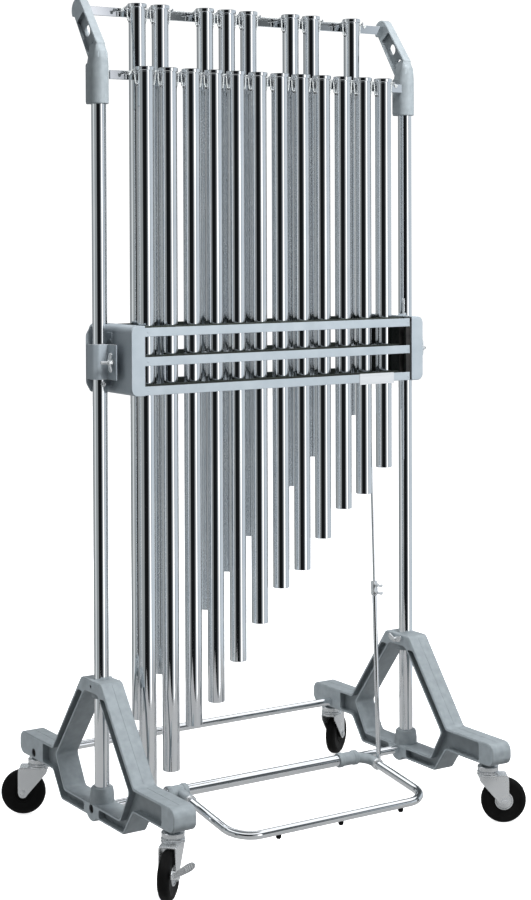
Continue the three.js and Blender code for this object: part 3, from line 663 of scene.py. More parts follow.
def cord_path(row):
    """The cord's middle line: over every hook and straight through every bell's holes."""
    apex = row["top"] - APEX_DROP
    hole = row["top"] - HOLE_DROP
    path = [(place_x(row["hooks"][0] - 0.5) - KNOT_REACH, row["y"], apex - KNOT_DROP)]
    for place in row["hooks"]:
        x = place_x(place - 0.5)
        for k in range(-2, 3):
            path.append((x + 1.7 * k, row["y"], apex + 0.2 - 0.32 * k * k))
        if place in row["places"]:
            bell_x = place_x(place)
            for side in (-1, 1):
                steps = [(-24, 5.4), (-20.5, 1.6), (-17, 0.2), (-10, 0)]
                for dx, dz in steps if side < 0 else [(-s, z) for s, z in reversed(steps)]:
                    path.append((bell_x + dx, row["y"], hole + dz))
    path.append((place_x(row["hooks"][-1] - 0.5) + KNOT_REACH, row["y"], apex - KNOT_DROP))
    return path


def knot(x, y, z):
    """An overhand knot: a closed trefoil of the same cord."""
    path = []
    for i in range(61):
        t = 2 * math.pi * i / 60
        across = KNOT_SIZE * (math.sin(t) + 2 * math.sin(2 * t))
        rise = KNOT_SIZE * (math.cos(t) - 2 * math.cos(2 * t))
        path.append((x + across, y - KNOT_SIZE * math.sin(3 * t), z + rise))
    return swept(path, KNOT_SIZE, 10)


def cord_solid(row):
    path = cord_path(row)
    ends = [knot(*path[0]), knot(*path[-1])]
    return gathered(swept(smooth_path(path, 4), CORD_RADIUS, 12), *ends)


def rail_solid(row):
    """A flat bar with chamfered edges and a row of upturned hooks, each on its own collar."""
    apex = row["top"] - APEX_DROP
    pin_z = apex - CORD_RADIUS - 0.3 - HOOK_RADIUS
    top = pin_z + HOOK_RADIUS + 2.5
    front = row["back"] - RAIL_THICKNESS
    half = row["half"]
    tip = row["y"] - 6
    parts = [box(-half, half, front, row["back"], top - RAIL_HEIGHT, top, 1.0, 2)]
    for place in row["hooks"]:
        x = place_x(place - 0.5)
        path = [(x, front + 1, pin_z), (x, row["y"] + 4, pin_z), (x, tip + 4, pin_z)]
        path += [(x, tip + 1.2, pin_z + 0.8), (x, tip, pin_z + 3.4), (x, tip, apex + 2.6)]
        parts.append(swept(smooth_path(path, 5), HOOK_RADIUS - 0.1, 14))
        back = row["back"]
        parts.append(rod((x, front + 0.5, pin_z), (x, front - 2.2, pin_z), 4.2, 24, 0.7))
        parts.append(rod((x, back - 0.2, pin_z), (x, back + 1.2, pin_z), 3.4, 24, 0.5))
    return gathered(*parts)


for word, row in ROWS.items():
    piece(f"{word}_hook_rail", rail_solid(row), BAR_CHROME, "frame", [f"{word}_rail"])
    piece(f"{word}_suspension", cord_solid(row), CORD, "frame", [f"{word}_cord"], 60)

# ---------- posts and cross bars

for side, word in SIDES:
    x = side * POST_X
    post = rod((x, 0, POST_BOTTOM), (x, 0, POST_TOP), POST_RADIUS, 72, 1.5)
    piece(f"{word}_post_tube", post, TUBE_CHROME, "frame", [f"{word}_post"])

FRAME_REACH = POST_X + 23
BAR_WALL = 2
CROSS_BARS = (
    ("rear_tie_bar", "rear_cross_bar", BAR_Y, BAR_Z),
    ("pedal_axle_bar", "pedal_axle", 0, AXLE_Z),
)
plugs = []
for name, node, y, z in CROSS_BARS:
    ends = (-FRAME_REACH, y, z), (FRAME_REACH, y, z)
    piece(name, pipe(*ends, BAR_RADIUS, BAR_WALL, 56), BAR_CHROME, "frame", [node])
    for side, _ in SIDES:
        stem = [(side * (FRAME_REACH + reach), y, z) for reach in (-14, 1)]
        head = [(side * (FRAME_REACH + reach), y, z) for reach in (0.1, 1.6)]
        plugs.append(rod(*stem, BAR_RADIUS - 2.2, 40, 0.5))
        plugs.append(rod(*head, BAR_RADIUS - 0.1, 48, 0.6))
piece("bar_end_plugs", gathered(*plugs), RUBBER, "frame", ())

# ---------- end castings

CAST = {
    "half_width": 27,
    "flange": 5,
    "recess": 15,
    "top": 378,
    "top_half": 46,
    "shoulder": (190, 190),
    "reach": 358,
    "arm_top": 190,
    "arm_bottom": 138,
    "end_radius": 20,
    "junction": 188,
    "foot_half": 146,
    "foot": 81,
    "boss": 27,
    "bore": 9.8,
    "front_pocket": 313,
    "rear_pocket": 243,
    "stems": (-308, 316),
}
WINDOW = [(128, 110), (168, 176), (30, 350)]


def casting_outline():
    """The end frame seen from the side: two arms, two legs, and a boss round the pedal's axle."""
    c = CAST
    r = c["end_radius"]
    boss_half = math.sqrt(c["boss"] ** 2 - (AXLE_Z - c["foot"]) ** 2)
    start = math.degrees(math.atan2(c["foot"] - AXLE_Z, boss_half))
    right = [(c["foot_half"], c["foot"]), (c["junction"], c["arm_bottom"])]
    right = corner_rounded([(60, c["foot"]), *right, (260, c["arm_bottom"]), (60, 400)], 7)[5:15]
    right += arc((c["reach"] - r, c["arm_bottom"] + r), r, -90, 0)
    right += arc((c["reach"] - r, c["arm_top"] - r), r, 0, 90)
    upper = corner_rounded(
        [(300, c["arm_top"]), c["shoulder"], (c["top_half"], c["top"]), (0, c["top"]), (0, 0)], 7
    )
    right += upper[5:15]
    boss = arc((0, AXLE_Z), c["boss"], start, -180 - start, 20)
    return right + flipped(right) + list(reversed(boss))


def pocket_outline(arm_end):
    """The recess on one side of the web, inside the flange, as far as a place on the arm."""
    c = CAST
    low, side, top = WINDOW
    points = [
        (c["boss"] + 2, c["foot"]), (c["foot_half"], c["foot"]), (c["junction"], c["arm_bottom"]),
        (arm_end, c["arm_bottom"]), (arm_end, c["arm_top"]), c["shoulder"],
        (top[0] + 34, top[1] + 2), top, side, low, (c["boss"] + 2, low[1]),
    ]
    return corner_rounded(offset(points, c["flange"]), 6, 3)


def casting_solid():
    """One end frame of the stand, about its own post: a web with flanges, bosses and a collar."""
    c = CAST
    half = c["half_width"]
    window = corner_rounded([*WINDOW, *flipped(WINDOW)], 9)
    body = extruded([casting_outline(), list(reversed(window))], "yz", -half, half, 3, 3)
    collar = lathe(
        [(0, 104), (26.5, 104), (26.5, 124), (26, 128), (24, 141), (22.5, 143), (0, 143)], 56
    )
    under_top = lathe([(0, 338), (21, 338), (22, 339), (22, 352), (0, 352)], 48)
    stem = lathe([(0, 130), (14, 130), (15, 131), (19, 141), (0, 141)], 40)
    stems = [shifted(stem, y=y) for y in c["stems"]]
    body = join(body, collar, under_top, *stems)
    tools = []
    for outline in (pocket_outline(c["rear_pocket"]), flipped(pocket_outline(c["front_pocket"]))):
        tools.append(extruded([outline], "yz", -half - 1, -half + c["recess"]))
        tools.append(extruded([outline], "yz", half - c["recess"], half + 1))
    tools.append(rod((0, 0, POST_BOTTOM - 0.3), (0, 0, c["top"] + 5), POST_RADIUS + 0.3, 56, 0.1))
    tools.append(rod((-35, 0, 364), (35, 0, 364), 3.8, 20, 0.1))
    for y, z in ((0, AXLE_Z), (BAR_Y, BAR_Z)):
        tools.append(rod((-35, y, z), (35, y, z), c["bore"], 40, 0.1))
    return softened(cut(body, *tools), 0.9, 40)


def parting_lines():
    """The thin raised seams that the mould leaves along the middle of the outer edges."""
    c = CAST
    shoulder_y, shoulder_z = c["shoulder"]
    lines = (
        (0.7, (c["top_half"] + 3, c["top"] - 4), (shoulder_y - 4, shoulder_z + 5)),
        (0.5, (c["boss"] + 6, c["foot"]), (c["foot_half"] - 6, c["foot"])),
        (0.6, (shoulder_y + 12, c["arm_top"]), (c["reach"] - 24, c["arm_top"])),
    )
    seams = []
    for sign, _ in SIDES:
        for radius, *ends in lines:
            seams.append(swept([(0, sign * y, z) for y, z in ends], radius, 8))
    return seams


def second_look(thing, look, chosen):
    """Gives the chosen faces of a piece another look."""
    thing.data.materials.append(look)
    for face in thing.data.polygons:
        if chosen(face):
            face.material_index = 1


def casting_pair(solid, title, node, sharp, reach):
    """A casting at the left post and its mirror at the right one, both with the faces at a reach
    from the post's middle in a lighter copy of the look: a painted highlight."""
    for side, word in SIDES:
        post_x = side * POST_X
        turned = shifted(solid if side < 0 else mirrored(solid), post_x)
        name, nodes = f"{word}_{title}", [f"{word}_{node}"]
        thing = piece(name, turned, CASTING_LOOK, "frame", nodes, sharp)

        # The faces that take the painted highlight: flat faces at the reach from the post's
        # middle.
        def highlighted_face(face):
            x = (face.center.x - ORIGIN.x) / MM
            return abs(abs(x - post_x) - reach) < 0.2

        second_look(thing, FLANGE_HIGHLIGHT_LOOK, highlighted_face)


casting = gathered(casting_solid(), *parting_lines())
casting_pair(casting, "end_frame", "end_casting", 35, CAST["half_width"])

# ---------- top brackets

LEAN = math.radians(38.2)
TIP = (82, 1836)
TIP_RADIUS = 25
ARM_LENGTH = 121
ARM_HALF = 10.5
BLOCK_TOP = 1714
BRACKET_BOTTOM = 1625
SHOULDER = 1700
SLEEVE = (20, -23.5, 23.5, 19, 4)


def arm_point(s, t):
    """A point of the arm: s runs up it from the centre of its round end, t towards the rear."""
    return (
        TIP[0] + s * math.sin(LEAN) + t * math.cos(LEAN),
        TIP[1] + s * math.cos(LEAN) - t * math.sin(LEAN),
    )


def sleeve_section(half_width, front, rear, front_radius, rear_radius):
    """A section of the sleeve or the neck: rounder at the front than at the rear."""
    w, rf, rr, steps = half_width, front_radius, rear_radius, 14
    return (
        arc((-w + rf, front + rf), rf, 180, 270, steps)
        + arc((w - rf, front + rf), rf, 270, 360, steps)
        + arc((w - rr, rear - rr), rr, 0, 90, steps)
        + arc((-w + rr, rear - rr), rr, 90, 180, steps)
    )


def neck_solid():
    """The neck that flows from the sleeve into the thin arm, lofted through rounded sections."""
    foot_y, foot_z = arm_point(3 - ARM_LENGTH, -TIP_RADIUS)
    keys = [
        (1690, 20, -23.5, 20.5, 19, 4),
        (1700, 20, -23.5, 20.5, 19, 4),
        (1712, 19.4, -23.4, 19.5, 18.5, 4),
        (1724, 18, -23.1, 18, 17, 4),
        (1736, 16, -22.4, 16.5, 14, 4),
        (1736 + (foot_z - 1736) * 0.3, 14.2, foot_y * 0.3 - 22.4 * 0.7 + 1, 18, 11, 3.5),
        (1736 + (foot_z - 1736) * 0.6, 12.4, foot_y * 0.6 - 22.4 * 0.4 + 1.2, 22, 7, 3),
        (foot_z, ARM_HALF, foot_y, foot_y + 10, 3, 3),
    ]
    rings = [[(x, y, z) for x, y in sleeve_section(*section)] for z, *section in keys]
    count = len(rings[0])
    faces = end_faces(len(rings), count) + side_faces(len(rings), count)
    return [v for ring in rings for v in ring], faces


def arm_solid():
    """The thin arm with its round end, a recess on each side and two oval holes."""
    end = 90 - math.degrees(LEAN)
    side = [(-4, BLOCK_TOP), (18, BLOCK_TOP), arm_point(-ARM_LENGTH, 26.8), arm_point(-4, 18)]
    side += arc(TIP, TIP_RADIUS, end - 84, end + 90, 22)
    side.append(arm_point(-ARM_LENGTH, -TIP_RADIUS))
    rim = 4 - TIP_RADIUS
    pocket = [(-24, rim), (-118, rim), (-117, 10), (-104, 22), (-23, 15.5)]
    pocket = corner_rounded([arm_point(*spot) for spot in pocket], 5)
    body = extruded([side], "yz", -ARM_HALF, ARM_HALF, 2, 3)
    tools = [
        extruded([pocket], "yz", -ARM_HALF - 1, 8 - ARM_HALF),
        extruded([pocket], "yz", ARM_HALF - 8, ARM_HALF + 1),
    ]
    for s, long, wide in ((-60, 14, 12), (-106, 11, 10)):
        y, z = arm_point(s, 1.5)
        oval = []
        for i in range(28):
            angle = 2 * math.pi * i / 28
            across, along = wide * math.cos(angle), long * math.sin(angle)
            u = y + across * math.cos(LEAN) + along * math.sin(LEAN)
            oval.append((u, z - across * math.sin(LEAN) + along * math.cos(LEAN)))
        tools.append(extruded([oval], "yz", -20, 20))
    return cut(body, *tools)


def bracket_solid():
    """The sleeve on the post, the block behind it, the neck and the arm that holds the rails."""
    block = extruded([rounded(-2, 23.5, BRACKET_BOTTOM, BLOCK_TOP, 7)], "yz", -20, 20, 2, 2)
    sleeve = extruded([sleeve_section(*SLEEVE)], "xy", BRACKET_BOTTOM, SHOULDER, 2, 2)
    body = join(sleeve, block, neck_solid(), arm_solid())
    bore = rod((0, 0, BRACKET_BOTTOM - 5), (0, 0, POST_TOP + 0.3), POST_RADIUS + 0.3, 56, 0.1)
    return softened(cut(body, bore), 0.8, 42)


casting_pair(bracket_solid(), "rail_bracket", "top_bracket", 55, ARM_HALF)

# ---------- damper box


def bar_z(i):
    """The height of the middle of a guard bar, from the lowest up."""
    return BOX_BOTTOM + BAR_HEIGHT / 2 + 1 + i * BAR_PITCH


def grille_solid():
    """The front of the box: two flat ends and three riveted bars."""
    y0, y1 = -BOX_DEPTH, -BOX_DEPTH + 3
    inner = BOX_HALF - BOX_FLANGE
    bar_end = inner - 5
    outline = rounded(inner, BOX_HALF, BOX_BOTTOM, BOX_TOP, 15)
    plate = extruded([outline], "xz", -y1, -y0, 0.5, 2)
    corner = arc((15 - BOX_HALF, BOX_TOP - 15), 15, 90, 180) + arc(
        (15 - BOX_HALF, BOX_BOTTOM + 15), 15, 180, 270
    )
    left = [(-inner, BOX_BOTTOM), (-inner, BOX_TOP), *corner]
    left = extruded([left], "xz", -y1, -y0, 1.1, 3)
    half = BAR_HEIGHT / 2
    heights = [bar_z(i) for i in range(3)]
    bars = [box(-inner - 1, bar_end, y0, y1, z - half, z + half, 0.7, 2) for z in heights]
    rivet = lathe([(0, 0), (2.6, 0), (2.3, 0.7), (1.2, 1.1), (0, 1.1)], 20)
    rivet = moved(rivet, Matrix.Rotation(RIGHT_ANGLE, 4, "X"))
    heads = [shifted(rivet, x, y0 + 0.3, z) for x in (8 - inner, bar_end - 4) for z in heights]
    return gathered(plate, left, *bars, *heads)


def guard_strap():
    """The dark strap that carries the bars' far ends; its dark lacquer is painted shade behind the
    bars.
    """
    back = 3 - BOX_DEPTH
    end = BOX_HALF - BOX_FLANGE
    return box(end - 13, end - 0.5, back - 0.1, back + 2.5, BOX_BOTTOM + 3, BOX_TOP - 3, 0.5)


def cap_shade_lining():
    """Dark felt sheets inside the right end of the box, with a hole for the shaft: painted shade
    for its dark inside.
    """
    wall = BOX_HALF - BOX_SHEET
    reach = BOX_DEPTH - 4
    low, high = BOX_BOTTOM + 6, BOX_TOP - 6
    side = box(wall - 2, wall - 0.2, -reach, reach, low, high, 0.4)
    hole = rod((wall - 9, SHAFT_Y, SHAFT_Z), (wall + 9, SHAFT_Y, SHAFT_Z), 7, 32, 0.1)
    back = box(wall - 32, wall - 1.5, reach - 2, reach, low, high, 0.4)
    return gathered(cut(side, hole), back)


def end_cap_solid(depth):
    """The right end of the box: a shallow cap with round corners, and the saddle on the post."""
    inner = BOX_HALF - BOX_FLANGE

    def cap(margin):
        return rounded(
            inner - 30, BOX_HALF - margin, BOX_BOTTOM + margin, BOX_TOP - margin, 15 - margin, 8
        )

    shell = extruded([cap(0)], "xz", -depth, depth, 2.2, 4)
    hollow = extruded([cap(BOX_SHEET)], "xz", -depth + BOX_SHEET, depth - BOX_SHEET, 1.5, 3)
    opening = box(inner - 60, inner, -depth - 5, depth + 5, BOX_BOTTOM - 5, BOX_TOP + 5, 0)
    shell = cut(shell, hollow, opening)
    front = POST_RADIUS + 1
    edge = POST_X + 24
    outline = [
        (BOX_HALF - 1, BOX_BOTTOM + 17), (edge - 12, BOX_BOTTOM + 3), (edge, BOX_BOTTOM + 24),
        (edge, BOX_TOP - 20), (edge - 12, BOX_TOP - 2), (BOX_HALF - 1, BOX_TOP - 17),
    ]
    saddle = extruded([corner_rounded(outline, 6)], "xz", -front - 3, -front, 0.6, 2)
    flange = box(BOX_HALF - 1, BOX_HALF + 2.5, -14, front + 2, BOX_BOTTOM + 17, BOX_TOP - 17, 0.6)
    screws = []
    for z in (BOX_BOTTOM + 34, BOX_TOP - 34):
        head = lathe([(0, 0), (4, 0), (3.6, 1.4), (2, 2.1), (0, 2.1)], 24, "x")
        screws.append(shifted(head, BOX_HALF + 2.3, -7, z))
    return gathered(shell, join(saddle, flange), *screws)


grille = grille_solid()
piece("front_guard", grille, SHEET_LOOK, "frame", ["front_grille"], 35)
piece("rear_guard", mirrored(grille, "y"), SHEET_LOOK, "frame", ["rear_grille"], 35)
# The straps take the dark lacquer as painted shade behind the bars' far ends.
for word, strap in (("front", guard_strap()), ("rear", mirrored(guard_strap(), "y"))):
    piece(f"{word}_guard_strap", strap, SLAT, "frame", ())
# Dark felt inside the right cap: painted shade for the box's dark inside.
piece("right_cap_lining", cap_shade_lining(), FELT, "frame", ())
left_cap = mirrored(end_cap_solid(BOX_DEPTH - 3.3))
piece("left_box_cap", left_cap, SHEET_LOOK, "frame", ["left_box_end"], 35)
right_cap = end_cap_solid(BOX_DEPTH + 2)
piece("right_box_cap", right_cap, SHEET_LOOK, "frame", ["right_box_end"], 35)

PLATE = (207, 305)
PLATE_HALF = 12.5
blank = [rounded(*PLATE, bar_z(0) - 1.5 - PLATE_HALF, bar_z(0) - 1.5 + PLATE_HALF, 1.5)]
blank = extruded(blank, "xz", BOX_DEPTH, BOX_DEPTH + 1.2, 0.3, 2)
piece("blank_plate", blank, PLATE_LOOK, "frame", ())

# ---------- post clamps and wing nuts

CLAMP_LOW = 1030
CLAMP_HIGH = 1106
EAR_X = 405
EAR_REACH = 40
NUT_Y = -43
NUT_X = {"left": 413.7, "right": 433}
NUT_STUB = {"left": 21, "right": 9}
SCREW_Z = 364
SCREW_INSET = 33
THREAD_PITCH = 0.8
STOP_Z = 1020


def strip_outline(path, thickness):
    """The outline of a bent sheet of even thickness along an open path."""
    left, right = [], []
    for i, (u, v) in enumerate(path):
        before = Vector(path[max(i - 1, 0)])
        after = Vector(path[min(i + 1, len(path) - 1)])
        here = Vector((u, v))
        first = (here - before).normalized() if i else (after - here).normalized()
        second = (after - here).normalized() if i < len(path) - 1 else first
        n0, n1 = Vector((-first.y, first.x)), Vector((-second.y, second.x))
        shift = (n0 + n1) * (thickness / 2 / (1 + n0.dot(n1)))
        left.append(tuple(here + shift))
        right.append(tuple(here - shift))
    return right + left[::-1]


def clamp_solid():
    """The strap bent round the right post, with the washer and the bolt head on its ear."""
    front = -POST_RADIUS - 3.2
    outer = POST_X + POST_RADIUS + 5.7
    path = [(outer, POST_RADIUS + 0.7), (outer, -10), (outer - 9, front)]
    path += [(EAR_X, front), (EAR_X, front - EAR_REACH)]
    outline = strip_outline(open_rounded(path, 4), BOX_SHEET)
    strap = extruded([outline], "xy", CLAMP_LOW, CLAMP_HIGH, 0.6, 2)
    middle = (CLAMP_LOW + CLAMP_HIGH) / 2
    washer = rod((EAR_X + 1, NUT_Y, middle), (EAR_X + 2.0, NUT_Y, middle), 8, 32, 0.3)
    head = lathe([(0, 0), (8, 0), (7.4, 1.4), (4.5, 3.0), (0, 3.4)], 32, "x")
    bolt = shifted(mirrored(head), EAR_X - 1.1, NUT_Y, middle)
    return gathered(strap, washer, bolt)


clamp = clamp_solid()
for word, strap in (("left", mirrored(clamp)), ("right", clamp)):
    node = f"{word}_post_clamp"
    thing = piece(f"{word}_clamp_strap", strap, SHEET_LOOK, "frame", [node], 35)
    second_look(thing, PLATE_LOOK, lambda face: abs(face.normal.z) > 0.4)


def wing_outline():
    """The two wings of a wing screw, seen along its axis."""
    right = [(4, -4), (10, -3.9), (16, -3.2), (20.4, -1.8), (22.4, 0.6), (23.6, 3.5), (24, 7.5)]
    right += [(22.8, 11), (20.6, 12), (18, 11.2), (13, 8.4), (8, 6), (4, 4.5)]
    return right + flipped(right)


def thread(start, end, radius):
    """A threaded rod: one fine ridge per pitch of the thread."""
    length, place = span(start, end)
    turns = max(3, int(length / THREAD_PITCH))
    profile = [(0, 0), (radius - 0.5, 0)]
    for k in range(turns):
        profile.append((radius - 0.35, length * (k + 0.2) / turns))
        profile.append((radius, length * (k + 0.6) / turns))
    profile += [(radius - 0.5, length), (0, length)]
    return moved(lathe(profile, 20), place)


def wing_solid(shank, stub, scale=1.0):
    """A wing screw on the Y axis: the shank points towards +Y and a stub stands out at -Y."""
    wing = extruded([wing_outline()], "xz", -1.7, 1.7, 0.8, 3)
    wing = moved(wing, Matrix.Diagonal((scale, 1, scale, 1)))
    hub = lathe([(0, -4.5), (5, -4.5), (6, -3.6), (6.2, 2), (7, 4.6), (6.9, 6), (0, 6)], 36, "y")
    rods = thread((0, -stub, 0), (0, shank, 0), 3.4)
    return gathered(join(wing, hub), rods)


for side, word in SIDES:
    turn = Matrix.Rotation(-side * RIGHT_ANGLE, 4, "Z")
    screw = shifted(moved(wing_solid(15, 6), turn), side * (POST_X - SCREW_INSET), 0, SCREW_Z)
    node = f"{word}_post_screw"
    piece(f"{word}_post_thumbscrew", screw, ZINC, node, [node])
    nut_x = NUT_X[word]
    nut = wing_solid(nut_x - EAR_X - 2.25, NUT_STUB[word], 0.88)
    turn = Matrix.Rotation(side * RIGHT_ANGLE, 4, "Z") @ Matrix.Rotation(RIGHT_ANGLE, 4, "Y")
    nut = shifted(moved(nut, turn), side * nut_x, NUT_Y, (CLAMP_LOW + CLAMP_HIGH) / 2)
    node = f"{word}_clamp_nut"
    piece(f"{word}_clamp_wing_nut", nut, ZINC, node, [node])

for side, word in SIDES:
    x = side * POST_X
    stop = [
        rod((x, 1 - POST_RADIUS, STOP_Z), (x, -POST_RADIUS - 1.2, STOP_Z), 6, 32, 0.4),
        rod((x, -POST_RADIUS, STOP_Z), (x, -POST_RADIUS - 4.2, STOP_Z), 4, 28, 1.2),
    ]
    piece(f"{word}_post_stop", gathered(*stop), ZINC, "frame", ())

WIRE_X, WIRE_Y, WIRE_Z = 398, -15, BOX_TOP + 2


def twisted_wire():
    """Two wire strands twisted round each other above the box, with an eye at the foot."""
    strands = []
    for phase in (0, math.pi):
        path = []
        for i in range(61):
            turn = phase + 2 * math.pi * i / 15
            x, y = WIRE_X + 2.2 * math.cos(turn), WIRE_Y + 2.2 * math.sin(turn)
            path.append((x, y, WIRE_Z + 0.6 * i))
        strands.append(swept(path, 1.1, 8))
    eye = lathe([(2.6, -1.2), (5, -1.2), (5, 1.2), (2.6, 1.2)], 24)
    return gathered(*strands, shifted(eye, WIRE_X, WIRE_Y, WIRE_Z))


piece("box_hanger_wire", twisted_wire(), ZINC, "frame", ())

# ---------- dampers and their shaft

FELT_THICK = 10
BACKING = 4
DAMPER_HALF = 354
FELT_FACE = {"front": -57.7, "rear": -67.3}
LEVER_X = 317


def damper_solids(face):
    """The felt strips, and the lacquered slats and end straps that carry them."""
    back = face - FELT_THICK - BACKING
    felts, slats = [], []
    front = back + BACKING
    for i in range(3):
        z = bar_z(i)
        felts.append(box(-DAMPER_HALF, DAMPER_HALF, front, face, z - 9, z + 11, 2.4, 3))
        slats.append(box(-DAMPER_HALF, DAMPER_HALF, back, front, z - 9, z + 8.5, 0.8, 2))
    for x in (-DAMPER_HALF, DAMPER_HALF - 12):
        slats.append(box(x, x + 12, back - 3, back + 0.2, bar_z(0) - 6, bar_z(2) + 8, 0.6))
        for i in range(3):
            head = lathe([(0, 0), (2.8, 0), (2.4, 1), (0, 1.3)], 20, "y")
            slats.append(shifted(mirrored(head, "y"), x + 6, back - 2.8, bar_z(i)))
    return gathered(*felts), gathered(*slats)


for word, face in FELT_FACE.items():
    felt, slat = damper_solids(face)
    if word == "rear":
        felt, slat = mirrored(felt, "y"), mirrored(slat, "y")
    body = f"{word}_damper"
    piece(f"{word}_felt_strips", felt, FELT, body, [body], 40)
    piece(f"{word}_damper_slats", slat, SLAT, body, ())


def shaft_solid():
    """The shaft across the box, and the short lever whose pin the link turns on."""
    half = BOX_HALF - BOX_SHEET - 0.3
    pin_y = SHAFT_Y + 14
    lever = arc((SHAFT_Y, SHAFT_Z), 9, 90, 270, 14) + arc((pin_y, SHAFT_Z), 5.5, -90, 90, 12)
    return gathered(
        rod((-half, SHAFT_Y, SHAFT_Z), (half, SHAFT_Y, SHAFT_Z), 5, 32, 0.6),
        extruded([lever], "yz", LEVER_X + 6, LEVER_X + 12, 0.8, 2),
        rod((LEVER_X - 2, pin_y, SHAFT_Z), (LEVER_X + 7, pin_y, SHAFT_Z), 2.4, 20, 0.4),
    )


piece("damper_rocker_shaft", shaft_solid(), ZINC, "damper_shaft", ["damper_shaft"])

# ---------- pedal and link

PEDAL_LEFT = -222
PEDAL_RIGHT = 290
PEDAL_REACH = 250
PEDAL_DROP = 37.2
PEDAL_RADIUS = 9.5
PEDAL_CORNER = 58
SLEEVE_FROM = -254
SLEEVE_TO = 266
LINK_LOW = (307, -34, 84)
LINK_HIGH = (317, 17.6, 1070)
LINK_JOINT = 480
BUMPER_X = 46
BUMPER_PITCH = 164
SLOPE = math.atan2(PEDAL_DROP, PEDAL_REACH)
BOW_REACH = math.hypot(PEDAL_DROP, PEDAL_REACH)


def on_pedal(x, reach, lift=0.0):
    """A point of the pedal's plane, which slopes from the axle down towards the player."""
    return (
        x, -reach * math.cos(SLOPE) - lift * math.sin(SLOPE),
        AXLE_Z - reach * math.sin(SLOPE) + lift * math.cos(SLOPE),
    )


def collar(start, end, radius, steps):
    """A turned ring between two points; a step holds a share of its length and of its radius."""
    length, place = span(start, end)
    profile = [(0, 0)] + [(radius * r, length * t) for t, r in steps] + [(0, length)]
    return moved(lathe(profile, 44), place)


def tees_solid():
    """The cast tees of the pedal: a stepped hub round the sleeve and a socket for each leg."""
    half = [(0, 0.92), (0.04, 1), (0.2, 1), (0.24, 0.9)]
    steps = half + [(0.76, 0.9), (0.8, 1), (0.96, 1), (1, 0.92)]
    socket = ((0, 0.9), (0.1, 0.9), (0.7, 0.9), (0.76, 1), (0.96, 1), (1, 0.93))
    tees = []
    for x0, x1, leg in (
        (SLEEVE_FROM, SLEEVE_FROM + 52, PEDAL_LEFT), (SLEEVE_TO - 55, SLEEVE_TO, PEDAL_RIGHT),
    ):
        hub = collar((x0, 0, AXLE_Z), (x1, 0, AXLE_Z), 17, steps)
        leg_socket = collar(on_pedal(leg, 6 if leg < 0 else 26), on_pedal(leg, 52), 13, socket)
        if leg < 0:
            tees.append(join(hub, leg_socket))
            continue
        bend = [(leg - 54, 0), (leg - 36, 1), (leg - 18, 7), (leg - 6, 18), (leg, 32), (leg, 46)]
        elbow = swept(smooth_path([on_pedal(*spot) for spot in bend], 5), 12, 32)
        x, y, z = LINK_LOW
        ear = rod((leg + 4, y, z), (x - 5.5, y, z), 8, 32, 1)
        tees.append(join(hub, leg_socket, elbow, ear))
    bore = rod((-400, 0, AXLE_Z), (400, 0, AXLE_Z), 12.8, 40, 0.1)
    legs = [rod(on_pedal(x, 30), on_pedal(x, 60), 9.8, 36, 0.1) for x in (PEDAL_LEFT, PEDAL_RIGHT)]
    return gathered(*[softened(cut(tee, bore, *legs), 0.6, 40) for tee in tees])


sleeve = pipe((SLEEVE_FROM - 0.5, 0, AXLE_Z), (SLEEVE_TO + 0.5, 0, AXLE_Z), 13, 3.2, 56, 0.6)
piece("pedal_sleeve_tube", sleeve, BAR_CHROME, "pedal", ())
piece("pedal_tees", tees_solid(), CASTING_LOOK, "pedal", ["pedal_sleeve"], 35)
x, y, z = LINK_LOW
pin = gathered(
    rod((x - 6, y, z), (x + 6.4, y, z), 2.6, 24, 0.3),
    rod((x + 4.2, y, z), (x + 7, y, z), 5, 6, 0.4),
)
piece("link_pin", pin, ZINC, "pedal", ())


def pedal_path():
    """The middle line of the pedal's bent tube."""
    reach, r = BOW_REACH, PEDAL_CORNER
    route = [(PEDAL_LEFT, 27), (PEDAL_LEFT, (27 + reach - r) / 2)]
    route += arc((PEDAL_LEFT + r, reach - r), r, 180, 90, 18)
    route += [((PEDAL_LEFT + PEDAL_RIGHT) / 2, reach)]
    route += arc((PEDAL_RIGHT - r, reach - r), r, 90, 0, 18)
    route += [(PEDAL_RIGHT, (27 + reach - r) / 2), (PEDAL_RIGHT, 27)]
    return [on_pedal(px, py) for px, py in route]


bow = swept(pedal_path(), PEDAL_RADIUS, 40)
piece("pedal_bow", bow, BAR_CHROME, "pedal", ["pedal_loop"], 50)

rings = []
for leg in (PEDAL_LEFT, PEDAL_RIGHT):
    steps = ((0, 0.8), (0.2, 1), (0.8, 1), (1, 0.86))
    rings.append(collar(on_pedal(leg, 50), on_pedal(leg, 58), 13.5, steps))
piece("pedal_leg_collars", gathered(*rings), ZINC, "pedal", ())

bumpers = []
for x in (BUMPER_X - BUMPER_PITCH, BUMPER_X, BUMPER_X + BUMPER_PITCH):
    steps = ((0, 0.78), (0.18, 0.96), (0.5, 1), (0.86, 1), (1, 0.9))
    bumpers.append(collar(on_pedal(x, BOW_REACH, -17.5), on_pedal(x, BOW_REACH, -7.5), 6, steps))
piece("pedal_bumpers", gathered(*bumpers), RUBBER, "pedal", ())


def link_point(z):
    """The point of the link's middle line at a height."""
    (x0, y0, z0), (x1, y1, z1) = LINK_LOW, LINK_HIGH
    t = (z - z0) / (z1 - z0)
    return (x0 + (x1 - x0) * t, y0 + (y1 - y0) * t, z)


def link_lower():
    """The tube with an eye on the pedal's pin."""
    x, y, z = LINK_LOW
    eye = lathe([(3, -3.75), (7.4, -3.75), (8, -3.2), (8, 3.2), (7.4, 3.75), (3, 3.75)], 36, "x")
    shank = box(x - 3.6, x + 2.4, y - 5, y + 6, z + 5, z + 24, 1.6, 2)
    return gathered(
        pipe(link_point(z + 16), link_point(LINK_JOINT), 5.5, 2.2, 36, 0.4),
        shifted(eye, x - 0.75, y, z),
        shank,
    )


